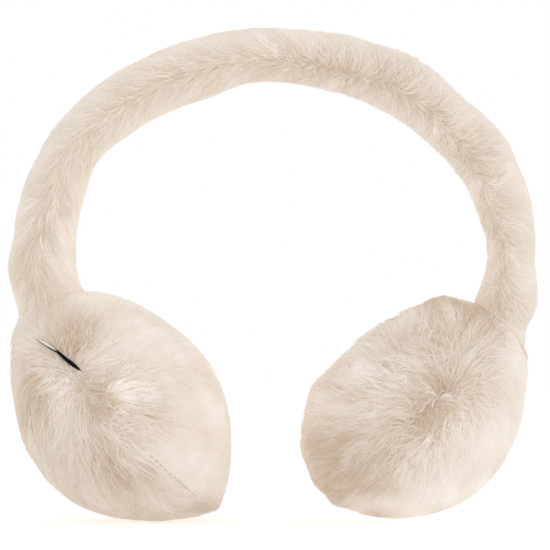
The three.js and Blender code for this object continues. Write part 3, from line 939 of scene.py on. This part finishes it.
@dataclass
class FurPiece:
    """A coat of separate hairs.

    Args:
        name: of the piece.
        slot: the record's slot for its finish; not used.
        coat: how it is combed.
        finish: its colours.
    """

    name: str
    slot: str
    coat: Coat
    finish: FurFinish

    def ribbons(self, hair: Hair) -> bpy.types.Object:
        """Gives every hair its width and makes the piece.

        Args:
            hair: the combed hair.

        Returns:
            The new piece.
        """
        joints, count = hair.joints, len(hair.joints)
        rng = np.random.default_rng(self.coat.seed + 9)
        tangents = unit(np.gradient(joints, axis=1))
        side = unit(np.cross(tangents, hair.normals))
        roll = rng.uniform(-HAIR_ROLL, HAIR_ROLL, count)[:, None, None]
        side = side * np.cos(roll) + np.cross(tangents, side) * np.sin(roll)
        half = self.coat.width / 2 * HAIR_PROFILE[None, :, None]
        half = half * rng.uniform(*WIDTH_SPREAD, count)[:, None, None]
        left = joints[:, :-1] - side[:, :-1] * half
        right = joints[:, :-1] + side[:, :-1] * half
        vertices = np.concatenate([left, right, joints[:, -1:]], axis=1)
        per_hair = 2 * SEGMENTS + 1
        corners = []
        for step in range(SEGMENTS - 1):
            a, b, c, d = step, step + SEGMENTS, step + SEGMENTS + 1, step + 1
            corners += [(a, b, c), (a, c, d)]
        corners.append((SEGMENTS - 1, 2 * SEGMENTS - 1, 2 * SEGMENTS))
        triangles = (np.arange(count)[:, None, None] * per_hair + np.array(corners)[None]).reshape(-1, 3)
        share = np.linspace(0, 1, SEGMENTS + 1)
        up = np.concatenate([share[:-1], share[:-1], share[-1:]])
        across = np.concatenate([np.full(SEGMENTS, -0.02), np.full(SEGMENTS, 0.02), [0.0]])
        tone = np.clip(hair.tone, 0.03, 0.97)[:, None] + across[None, :]
        shades = np.stack([tone, np.broadcast_to(up, tone.shape) * 0.96 + 0.02], axis=-1)
        flat = np.cross(side, tangents)
        facing = hair.normals + HAIR_ROUNDNESS * flat * np.sign(dots(flat, hair.normals))
        facing = unit(np.concatenate([facing[:, :-1], facing[:, :-1], facing[:, -1:]], axis=1))
        piece = mesh_piece(self.name, vertices.reshape(-1, 3), triangles, shades.reshape(-1, 2))
        piece.data.normals_split_custom_set_from_vertices(facing.reshape(-1, 3).tolist())
        piece.data.materials.append(self.finish.material())
        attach(piece, "root")
        log.info("%s: %d hairs, %d triangles", self.name, count, len(triangles))
        return piece


def drape(hair: Hair, skin: Skin, reach: float = 5.0) -> None:
    """Lays hair that would go into another part, no deeper than its reach, over that part's skin."""
    for joint in range(1, SEGMENTS + 1):
        inside = skin.inside(hair.joints[:, joint], 0.0)
        if not inside.any():
            continue
        place, normal = skin.on(hair.joints[inside, joint])
        near = np.linalg.norm(place - hair.joints[inside, joint], axis=-1) < reach
        moved = np.flatnonzero(inside)[near]
        hair.joints[moved, joint] = place[near] + DRAPE_HEIGHT * normal[near]
        hair.normals[moved, joint] = unit(hair.normals[moved, joint] + normal[near])


def press_on_floor(hair: Hair, rng: np.random.Generator) -> None:
    """Bends hair that would go through the floor to lie on it."""
    floor = rng.uniform(*FLOOR_SPREAD, len(hair.joints))[:, None]
    hair.joints[..., 2] = np.maximum(hair.joints[..., 2], floor)


@dataclass
class Padding:
    """The stuffed body under the hair of one node.

    Args:
        node: the node that it stands for.
        slot: the record's slot for its finish; not used.
        inset: how far it starts below the node's surface.
        swell: how far the stuffing may push it out.
        voxel: size of the faces that it starts with.
        pressure: of the stuffing.
        steps: of the cloth simulation.
    """

    node: str
    slot: str
    inset: float = 6.0
    swell: float = 2.5
    voxel: float = 5.0
    pressure: float = 4.0
    steps: int = 12

    def build(self, finish: GrainFinish) -> bpy.types.Object:
        """Shapes the padding from the node's own solid and stuffs it.

        Args:
            finish: its material's finish.

        Returns:
            The new piece.
        """
        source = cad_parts[self.node]
        piece = bpy.data.objects.new(self.node + "_padding", source.data.copy())
        bpy.context.scene.collection.objects.link(piece)
        bpy.ops.object.select_all(action="DESELECT")
        piece.select_set(True)
        bpy.context.view_layer.objects.active = piece
        bpy.ops.object.mode_set(mode="EDIT")
        bpy.ops.mesh.select_all(action="SELECT")
        bpy.ops.mesh.remove_doubles(threshold=1e-5)
        bpy.ops.object.mode_set(mode="OBJECT")
        remesh = piece.modifiers.new("even", "REMESH")
        remesh.mode = "VOXEL"
        remesh.voxel_size = self.voxel * MM
        relax = piece.modifiers.new("relax", "SMOOTH")
        relax.iterations = 8
        draw_in = piece.modifiers.new("draw_in", "DISPLACE")
        draw_in.mid_level = 0
        draw_in.strength = -self.inset * MM
        for modifier in ("even", "relax", "draw_in"):
            bpy.ops.object.modifier_apply(modifier=modifier)
        self.stuff(piece)
        finer = piece.modifiers.new("finer", "SUBSURF")
        finer.levels = finer.render_levels = 1
        bpy.ops.object.modifier_apply(modifier="finer")
        bpy.ops.object.shade_smooth()
        piece.data.materials.clear()
        piece.data.materials.append(finish.material())
        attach(piece, "root")
        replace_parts(piece, self.node)
        log.info("%s: %d faces", piece.name, len(piece.data.polygons))
        return piece

    def stuff(self, piece: bpy.types.Object) -> None:
        """Swells the padding with a short cloth simulation, no further than its limit."""
        before = np.empty(len(piece.data.vertices) * 3)
        piece.data.vertices.foreach_get("co", before)
        cloth = piece.modifiers.new("stuffing", "CLOTH")
        cloth.settings.use_pressure = True
        cloth.settings.uniform_pressure_force = self.pressure
        cloth.settings.effector_weights.gravity = 0
        cloth.settings.quality = 4
        for step in range(1, self.steps + 1):
            bpy.context.scene.frame_set(step)
        bpy.ops.object.modifier_apply(modifier="stuffing")
        bpy.context.scene.frame_set(1)
        after = np.empty_like(before)
        piece.data.vertices.foreach_get("co", after)
        move = (after - before).reshape(-1, 3)
        length = np.linalg.norm(move, axis=1, keepdims=True)
        capped = before.reshape(-1, 3) + move * np.minimum(1, self.swell * MM / np.maximum(length, 1e-9))
        piece.data.vertices.foreach_set("co", capped.ravel())
        piece.data.update()


def start_with(name: str, finish: GrainFinish) -> bpy.types.Object:
    """Names the primitive just added, applies its place, and gives it its body and finish."""
    piece = bpy.context.active_object
    piece.name = piece.data.name = name
    bpy.ops.object.transform_apply(location=True, rotation=True, scale=True)
    piece.data.materials.append(finish.material())
    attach(piece, "root")
    return piece


def reshape(piece: bpy.types.Object, places: np.ndarray) -> None:
    """Moves the vertices of a piece to millimetre places."""
    piece.data.vertices.foreach_set("co", (places * MM).ravel())
    piece.data.update()


def places_of(piece: bpy.types.Object) -> np.ndarray:
    """The vertices of a piece as rows of millimetre places."""
    places = np.empty(len(piece.data.vertices) * 3)
    piece.data.vertices.foreach_get("co", places)
    return places.reshape(-1, 3) / MM


@dataclass
class SeamLabel:
    """The small blank label in the rim seam: a folded black ribbon round an undyed core.

    Args:
        cup: the cup in whose seam it is sewn.
        line: places across the front and heights along its free edge, from its open end to its fold.
        width: of the ribbon, most of it in the seam.
        proud: how far it stands out of the fur.
        core_end: the share of the line at which the core ends.
        outside: shares of the line, and how far the outer face is from the middle there.
        inside: shares of the line, and how far the core's face is from the middle there.
    """

    cup: Cup
    line: np.ndarray
    width: float = 8.0
    proud: float = 1.6
    core_end: float = 0.48
    outside: tuple = ((0.0, 0.25, 0.43, 0.8, 0.92, 1.0), (0.25, 0.75, 0.55, 0.9, 0.65, 0.1))
    inside: tuple = ((0.0, 0.25, 0.4, 0.48, 1.0), (0.2, 0.64, 0.36, 0.0, 0.0))

    def free_edge(self) -> np.ndarray:
        """The line of the free edge, laid over the front of the cup."""
        flat = through(self.line, 200)
        edge = np.column_stack([flat[:, 0], np.full(len(flat), -self.cup.radius), flat[:, 1]])
        for _ in range(8):
            place, normals = self.cup.on(edge)
            edge[:, 1] = place[:, 1]
        return edge + self.proud * normals

    def strip(self, name: str, end: float, faces: tuple, finish: GrainFinish) -> bpy.types.Object:
        """Makes one layer from a finely divided block.

        Args:
            name: of the piece.
            end: the share of the line at which it ends.
            faces: for its lower and its upper face, shares of the line, distances there, and a sign.
            finish: its material's finish.

        Returns:
            The new piece.
        """
        bpy.ops.object.select_all(action="DESELECT")
        bpy.ops.mesh.primitive_cube_add(size=1)
        bpy.ops.object.mode_set(mode="EDIT")
        bpy.ops.mesh.select_all(action="SELECT")
        bpy.ops.mesh.subdivide(number_cuts=LABEL_CUTS)
        bpy.ops.object.mode_set(mode="OBJECT")
        piece = start_with(name, finish)
        along, deep, up = (places_of(piece) * MM + 0.5).T
        along = along * end
        path = self.free_edge()
        shares = np.linspace(0, 1, len(path))
        edge = np.column_stack([np.interp(along, shares, column) for column in path.T])
        low, high = (sign * np.interp(along, shares, away) for shares, away, sign in faces)
        lift = (low + (high - low) * up) * (1 - 0.3 * deep)
        inward = unit(self.cup.middle - edge)
        reshape(piece, edge + (deep * self.width)[:, None] * inward + lift[:, None] * self.cup.ear)
        bpy.ops.object.shade_smooth_by_angle(angle=math.radians(40))
        return piece

    def build(self) -> None:
        """Makes the core and both layers of the ribbon, which stand for the label's node."""
        weave = {"scale": 2500.0, "bump": 0.05 * MM}
        black = GrainFinish("label_black_weave", 0x0B0A09, 0x1A1815, roughness=0.75, **weave)
        # painted light: the cream core glows a little
        cream = GrainFinish("label_cream_weave", 0xEBE0D0, 0xF6EFE5, roughness=0.8, glow=0.2, **weave)
        self.strip("seam_label_core", self.core_end, ((*self.inside, -1), (*self.inside, 1)), cream)
        upper = ((*self.inside, 1), (*self.outside, 1))
        lower = ((*self.outside, -1), (*self.inside, -1))
        for name, faces in (("seam_label_upper_layer", upper), ("seam_label_lower_layer", lower)):
            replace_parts(self.strip(name, 1.0, faces, black), "seam_label")
        log.info("seam label: a core and two layers")


@dataclass
class RimSeam:
    """The sewn rim of a cup: the seam allowance between the panels and the stitches where they show.

    Args:
        cup: the cup that it closes.
        name: of the cup.
        slot: the record's slot for its finish; not used.
        pitch: from one stitch to the next.
        stitch: length of a stitch.
        thread: thickness of the thread.
        roll: radius of the roll of cut edges.
        depth: how far inside the rim the roll ends.
    """

    cup: Cup
    name: str
    slot: str
    pitch: float = 3.0
    stitch: float = 2.3
    thread: float = 0.35
    roll: float = 6.0
    depth: float = 2.0

    def allowance(self, backing: GrainFinish) -> None:
        """Makes the soft roll of cut edges that fills the gap between the panels."""
        bpy.ops.object.select_all(action="DESELECT")
        bpy.ops.mesh.primitive_torus_add(
            major_radius=(self.cup.radius - self.roll - self.depth) * MM,
            minor_radius=self.roll * MM,
            major_segments=72,
            minor_segments=12,
        )
        piece = start_with(self.name + "_seam_allowance", backing)
        ring = places_of(piece)
        flat = np.multiply.outer(ring[:, 0], self.cup.front) + np.multiply.outer(ring[:, 1], self.cup.down)
        flat = flat * self.cup.rim_at(flat) / self.cup.radius
        reshape(piece, self.cup.middle + flat + ring[:, 2:] * self.cup.ear)
        bpy.ops.object.shade_smooth()
        log.info("%s: seam allowance", self.name)

    def stitches(self, thread: GrainFinish) -> None:
        """Makes one stitch and copies it along the part of the seam where it shows, front and back."""
        bpy.ops.object.select_all(action="DESELECT")
        bpy.ops.mesh.primitive_uv_sphere_add(segments=6, ring_count=5, radius=0.5)
        piece = start_with(self.name + "_stitches", thread)
        one = places_of(piece) * MM
        faces = [tuple(face.vertices) for face in piece.data.polygons]
        first, last = (math.radians(end) for end in self.cup.stitched)
        front = np.arange(first, last, self.pitch / self.cup.radius)
        angle = np.concatenate([front, math.pi - front])
        count = len(angle)
        ahead = angle + self.stitch / 2 / self.cup.radius
        radius = self.cup.radius
        rows = [self.cup.place(radius * np.cos(a), radius * np.sin(a), 0 * a) for a in (angle, ahead)]
        spots, normals = self.cup.on(rows[0])
        ways = unit(self.cup.on(rows[1])[0] - spots)
        across = np.cross(ways, normals)
        spots = spots - (SEAM_DIP + 0.1) * normals
        sag = (one[:, 0] * 2) ** 2 * 0.3
        parts = (
            one[None, :, 0, None] * self.stitch * ways[:, None]
            + one[None, :, 1, None] * self.thread * across[:, None]
            + (one[:, 2] * self.thread - sag)[None, :, None] * normals[:, None]
        )
        vertices = (spots[:, None] + parts).reshape(-1, 3) * MM
        copies = [tuple(i + len(one) * copy for i in face) for copy in range(count) for face in faces]
        piece.data.clear_geometry()
        piece.data.from_pydata(vertices.tolist(), [], copies)
        piece.data.shade_smooth()
        log.info("%s: %d stitches", self.name, count)


@dataclass
class Studio:
    """The floor, the lights and the camera.

    Args:
        pixel: millimetres to a pixel of the photograph.
        floor_row: the row of the photograph that the floor is on.
        middle_column: the column of the photograph over the middle of the arch.
        distance: of the camera.
        surroundings: strength of the light from all round.
    """

    pixel: float = 0.42
    floor_row: float = 521.5
    middle_column: float = 274.5
    distance: float = 2600.0
    surroundings: float = 0.64

    def floor(self) -> None:
        """Makes the pale floor, which only the camera sees glow, so that it meets the surroundings unseen."""
        bpy.ops.object.select_all(action="DESELECT")
        bpy.ops.mesh.primitive_plane_add(size=6, location=(0, 0, 0))
        floor = bpy.context.active_object
        floor.name = "pale_floor"
        bpy.ops.object.transform_apply(location=True, rotation=True, scale=True)
        finish = GrainFinish("pale_floor", 0xFAF9F8, 0xFFFFFF, scale=3.0, bump=0.0, roughness=0.9, glow=0.4)
        material = finish.material()
        nodes, links = material.node_tree.nodes, material.node_tree.links
        seen, glow = nodes.new("ShaderNodeLightPath"), nodes.new("ShaderNodeMix")
        glow.data_type = "RGBA"
        glow.inputs["A"].default_value = linear(0x000000)
        glow.inputs["B"].default_value = linear(0xFFFFFF)
        links.new(seen.outputs["Is Camera Ray"], glow.inputs["Factor"])
        links.new(glow.outputs["Result"], nodes["Principled BSDF"].inputs["Emission Color"])
        floor.data.materials.append(material)

    def light(self, name: str, place: tuple[float, float, float], size: float, power: float) -> None:
        """Adds one soft light, aimed at the earmuffs."""
        lamp = bpy.data.lights.new(name, "AREA")
        lamp.shape = "DISK"
        lamp.size = size
        lamp.energy = power
        stand = bpy.data.objects.new(name, lamp)
        stand.location = place
        aim = Vector((0, 0, 0.1)) - Vector(place)
        stand.rotation_euler = aim.to_track_quat("-Z", "Y").to_euler()
        bpy.context.scene.collection.objects.link(stand)

    def lights(self) -> None:
        """Adds the lights and the pale surroundings."""
        self.light("key", (2.2, -1.0, 0.9), 1.2, 7)
        self.light("fill", (-1.0, -2.2, 0.6), 1.6, 3)
        world = bpy.data.worlds.new("pale_room")
        world.use_nodes = True
        nodes, links = world.node_tree.nodes, world.node_tree.links
        nodes["Background"].inputs["Color"].default_value = (1.0, 1.0, 1.0, 1.0)
        seen, strength = nodes.new("ShaderNodeLightPath"), nodes.new("ShaderNodeMapRange")
        strength.inputs["To Min"].default_value = self.surroundings
        strength.inputs["To Max"].default_value = 1.0
        links.new(seen.outputs["Is Camera Ray"], strength.inputs["Value"])
        links.new(strength.outputs["Result"], nodes["Background"].inputs["Strength"])
        bpy.context.scene.world = world
        bpy.context.scene.view_settings.view_transform = "Standard"

    def camera(self) -> None:
        """Sets the camera at the photograph's frame of 550 by 550 pixels."""
        frame_pixels = 550
        wide = frame_pixels * self.pixel
        aim_x = (frame_pixels / 2 - self.middle_column) * self.pixel
        aim_z = (self.floor_row - frame_pixels / 2) * self.pixel
        lens = bpy.data.cameras.new("camera")
        lens.sensor_width = 36
        lens.lens = 36 * self.distance / wide
        lens.clip_end = 50
        camera = bpy.data.objects.new("camera", lens)
        camera.location = Vector((aim_x, -self.distance, aim_z)) * MM
        camera.rotation_euler = (math.radians(90), 0, 0)
        bpy.context.scene.collection.objects.link(camera)
        bpy.context.scene.camera = camera


LEFT_CUP = Cup(
    side=-1,
    tilt=45,
    turn=3,
    rim=1.02,
    inset=0.57,
    reach={Face.OUTER: 1.02, Face.INNER: 1.01},
    fullness={Face.OUTER: 0.72, Face.INNER: 0.6},
    skew={Face.OUTER: 0.1, Face.INNER: 0.18},
    # partly painted shade: the outer panel, which faces away from the key light, has the lower tone
    tones_with_painted_shade={Face.OUTER: 0.47, Face.INNER: 0.62},
    # painted shade: the tan patches darken the neck, creases between locks and the lower corner; the others
    # whiten the hair
    shade_and_tone_patches=(
        ShadeAndTonePatch(-92.0, 87.0, 9.0, -0.3),
        ShadeAndTonePatch(-67.0, 56.0, 4.5, 0.6),
        ShadeAndTonePatch(-86.0, 60.0, 5.0, 0.5),
        ShadeAndTonePatch(-84.0, 74.0, 6.0, -0.5),
        ShadeAndTonePatch(-74.0, 53.0, 6.0, -0.3),
        ShadeAndTonePatch(-71.0, 30.0, 5.0, -0.5),
        ShadeAndTonePatch(-101.0, 57.0, 6.0, -0.4),
        ShadeAndTonePatch(-79.0, 43.0, 5.0, 0.3),
        ShadeAndTonePatch(-30.0, 8.0, 7.0, -0.4),
    ),
    lumps=(Lump(-111.0, 50.0, 15.0, -1.8), Lump(-108.0, 80.0, 10.0, 1.5)),
    whorl=(0.2, 0.5, 0.0),
    stitched=(22, 56),
    swirl=0.15,
    droop=0.8,
    trim=0.05,
)
RIGHT_CUP = Cup(
    side=1,
    tilt=43,
    turn=9,
    rim=0.965,
    inset=0.7,
    reach={Face.OUTER: 0.97, Face.INNER: 0.98},
    fullness={Face.OUTER: 0.68, Face.INNER: 0.48},
    skew={Face.OUTER: 0.0, Face.INNER: -0.04},
    # partly painted shade: the inner panel, which faces away from the key light, has the lower tone
    tones_with_painted_shade={Face.OUTER: 0.7, Face.INNER: 0.52},
    # painted shade: the tan patches darken the neck, the crease of the rim seam and the bottom; the others
    # whiten the hair
    shade_and_tone_patches=(
        ShadeAndTonePatch(84.0, 84.0, 8.0, -0.7),
        ShadeAndTonePatch(70.0, 90.0, 6.0, -0.4),
        ShadeAndTonePatch(29.0, 34.0, 9.0, -0.5),
        ShadeAndTonePatch(65.0, 45.0, 5.0, -0.4),
        ShadeAndTonePatch(80.0, 58.0, 6.0, -0.3),
        ShadeAndTonePatch(49.0, 28.0, 8.0, -0.4),
        ShadeAndTonePatch(48.0, 60.0, 6.0, 0.4),
        ShadeAndTonePatch(38.0, 32.0, 5.0, 0.5),
        ShadeAndTonePatch(24.0, 10.0, 9.0, -0.4),
        ShadeAndTonePatch(34.0, 24.0, 14.0, -0.3),
        ShadeAndTonePatch(44.0, 24.0, 6.0, -0.6),
        ShadeAndTonePatch(30.0, 13.0, 5.0, -0.4),
        ShadeAndTonePatch(48.0, 2.0, 6.0, -0.5),
    ),
    lumps=(
        Lump(13.0, 57.0, 9.0, 5.0),
        Lump(11.0, 40.0, 9.0, 3.5),
        Lump(70.0, 94.0, 6.0, 2.5),
        Lump(14.0, 28.0, 8.0, 2.5),
        Lump(19.0, 17.0, 6.0, 2.5),
        Lump(23.3, 7.8, 4.0, 2.5),
        Lump(106.0, 66.0, 7.0, 1.2),
    ),
    whorl=(-0.05, 0.12, 7.0),
    stitched=(34, 62),
    swirl=-0.1,
    droop=0.5,
    trim=0.1,
)
SLEEVE_STATIONS = np.array(
    [
        (0.0, 1.1, -0.9, -1.5, 2.5),
        (0.06, 1.14, -0.9, -1.5, 3.2),
        (0.12, 1.16, -0.9, -2.5, 1.2),
        (0.17, 1.0, -0.9, 0.0, 1.0),
        (0.235, 0.98, -0.9, 0.0, 3.0),
        (0.3, 1.02, -0.9, 1.6, 1.3),
        (0.36, 1.02, -0.85, 1.6, -0.3),
        (0.42, 0.97, -0.8, 2.2, -0.5),
        (0.49, 0.96, -0.6, 4.2, -1.1),
        (0.56, 1.0, -0.4, 4.0, -1.9),
        (0.625, 1.06, -0.2, 3.0, -1.4),
        (0.672, 1.15, -0.1, 2.0, -2.6),
        (0.735, 1.1, 0.05, 4.6, -1.7),
        (0.79, 0.98, 0.1, 8.5, -0.9),
        (0.86, 0.84, 0.3, 4.5, -1.6),
        (0.92, 1.1, 0.4, 4.0, 0.8),
        (1.0, 1.05, 0.4, 4.0, 1.0),
    ]
)
# painted shade where the sleeve meets each cup
SLEEVE_NECK_SHADE = (ShadeAndTonePatch(-90.0, 92.0, 8.0, -0.4), ShadeAndTonePatch(88.0, 90.0, 8.0, -0.4))
SLEEVE_LUMPS = (
    Lump(-107.0, 138.0, 12.0, 1.5),
    Lump(-110.0, 119.0, 9.0, -1.3),
    Lump(-110.5, 104.0, 8.0, 1.0),
    Lump(-82.0, 124.0, 5.0, 0.8),
    Lump(-69.0, 153.0, 9.0, -1.0),
    Lump(-29.0, 181.0, 11.0, 1.8),
    Lump(-8.0, 184.5, 8.0, -0.6),
    Lump(32.0, 203.5, 10.0, 0.9),
    Lump(59.0, 195.0, 13.0, 1.1),
    Lump(79.0, 179.0, 10.0, -1.3),
    Lump(95.0, 158.0, 8.0, 1.0),
    Lump(58.0, 164.0, 9.0, -2.0),
    Lump(67.0, 154.0, 9.0, -1.4),
    Lump(76.0, 144.0, 9.0, -1.4),
    Lump(107.0, 80.0, 7.0, -2.0),
)
SLEEVE_ENDS = ((0.5, 0.1), (0.5, -0.15))
SLEEVE_PALETTE = ((0xC8B8A4, 0xD0C3B4, 0xD6CCC0), (0xE2D9CE, 0xEEE9E4, 0xF1EEEB))
CUP_PALETTE = ((0xBAA58C, 0xC6B5A2, 0xCFC2B2), (0xD8CDBE, 0xECE8E4, 0xF1EFED))
SLEEVE_COMBING = {"gather": 0.5, "furrow": 1.4, "wave": 0.35, "stray": 0.1, "root_depth": 4.0}
SLEEVE_COATS = (
    (
        "sleeve_left_fur", 0.06, 0.5,
        Coat(length=18.0, lock=7.0, shag=0.35, seed=21, ruffle=0.2, **SLEEVE_COMBING),
    ),
    (
        "sleeve_right_fur", 0.5, 0.96,
        Coat(length=14.0, lock=6.0, shag=0.3, seed=31, ruffle=0.45, **SLEEVE_COMBING),
    ),
)
CUP_COATS = (
    (
        LEFT_CUP, Face.OUTER, "left_cup_outer_panel", "left_outer_fur",
        Coat(length=26.0, lock=11.0, gather=0.75, furrow=3.3, wave=0.7, shag=0.9, seed=41),
    ),
    (
        LEFT_CUP, Face.INNER, "left_cup_inner_panel", "left_inner_fur",
        Coat(length=20.0, lock=8.0, gather=0.45, furrow=1.6, wave=0.35, shag=0.3, seed=51),
    ),
    (
        RIGHT_CUP, Face.OUTER, "right_cup_outer_panel", "right_outer_fur",
        Coat(length=22.0, lock=8.0, gather=0.5, furrow=1.8, wave=0.35, shag=0.35, seed=61),
    ),
    (
        RIGHT_CUP, Face.INNER, "right_cup_inner_panel", "right_inner_fur",
        Coat(length=26.0, lock=10.0, gather=0.7, furrow=3.3, wave=0.7, shag=0.8, seed=71),
    ),
)
LABEL_LINE = np.array([(-98.4, 76.9), (-90.6, 72.5), (-85.4, 68.3), (-79.7, 64.2)])


@dataclass
class CupPanel:
    """One panel of a cup: its padding and its coat.

    Args:
        cup: the cup that it belongs to.
        face: which panel it is.
        sleeve: the sleeve that comes out between the panels.
        fur: its coat of hair.
        padding: its stuffed body.
    """

    cup: Cup
    face: Face
    sleeve: Sleeve
    fur: FurPiece
    padding: Padding

    def build(self, backing: GrainFinish) -> None:
        """Builds the padding and the coat."""
        self.padding.build(backing)
        coat = self.fur.coat
        comb = Comb(self.cup, coat)
        roots = self.cup.panel(self.face, coat.hairs, comb.rng)
        roots = roots[~self.sleeve.inside(roots, PANEL_BURIED)]
        hair = comb.lay(roots)
        drape(hair, self.sleeve)
        press_on_floor(hair, comb.rng)
        self.fur.ribbons(hair)


@dataclass
class SleeveCoat:
    """The sleeve's padding and its coat, which is made in two pieces that meet at the crown.

    Args:
        sleeve: its skin.
        halves: each piece with the shares of the length where it starts and ends.
        padding: its stuffed body.
    """

    sleeve: Sleeve
    halves: tuple[tuple[FurPiece, float, float], ...]
    padding: Padding

    def build(self, backing: GrainFinish) -> None:
        """Builds the padding and both halves of the coat."""
        self.padding.build(backing)
        for fur, low, high in self.halves:
            comb = Comb(self.sleeve, fur.coat)
            roots = self.sleeve.scatter_between(low, high, fur.coat.hairs, comb.rng)
            buried = self.sleeve.left.inside(roots, SLEEVE_BURIED)
            buried = buried | self.sleeve.right.inside(roots, SLEEVE_BURIED)
            hair = comb.lay(roots[~buried])
            drape(hair, self.sleeve.left)
            drape(hair, self.sleeve.right)
            fur.ribbons(hair)


def main() -> None:
    """Builds the earmuffs and the studio round them."""
    logging.basicConfig(level=logging.INFO, format="%(message)s")
    studio = Studio()
    studio.camera()
    # painted light: the backing glows, lifting the shade in the gaps between hairs
    backing = GrainFinish(
        "pelt_backing", 0xC0AC95, 0xEBE1D5, scale=500.0, bump=0.4 * MM, roughness=0.9, sheen=0.2, glow=0.3
    )
    sleeve = Sleeve(LEFT_CUP, RIGHT_CUP, SLEEVE_ENDS, SLEEVE_STATIONS, SLEEVE_NECK_SHADE, SLEEVE_LUMPS)
    log.info("sleeve: %.1f mm long", sleeve.length)
    finish = FurFinish("sleeve_fur", *SLEEVE_PALETTE)
    halves = tuple(
        (FurPiece(name, "headband_fur", coat, finish), low, high) for name, low, high, coat in SLEEVE_COATS
    )
    sleeve_padding = Padding("headband_sleeve", "headband_fur", inset=5.0, swell=1.5)
    SleeveCoat(sleeve, halves, sleeve_padding).build(backing)
    for cup, face, name, slot, coat in CUP_COATS:
        fur = FurPiece(name.replace("panel", "fur"), slot, coat, FurFinish(slot, *CUP_PALETTE))
        CupPanel(cup, face, sleeve, fur, Padding(name, slot)).build(backing)
    # painted light: the thread glows a little, so that it reads lighter in the seam's shade
    thread = GrainFinish(
        "seam_thread", 0xB39D82, 0xC4B096, scale=1500.0, bump=0.03 * MM, roughness=0.7, glow=0.22
    )
    for cup, name, slot in (
        (LEFT_CUP, "left_cup", "left_outer_fur"),
        (RIGHT_CUP, "right_cup", "right_outer_fur"),
    ):
        seam = RimSeam(cup, name, slot)
        seam.allowance(backing)
        seam.stitches(thread)
    SeamLabel(LEFT_CUP, LABEL_LINE).build()
    studio.floor()
    studio.lights()


if __name__ == "__main__":
    main()
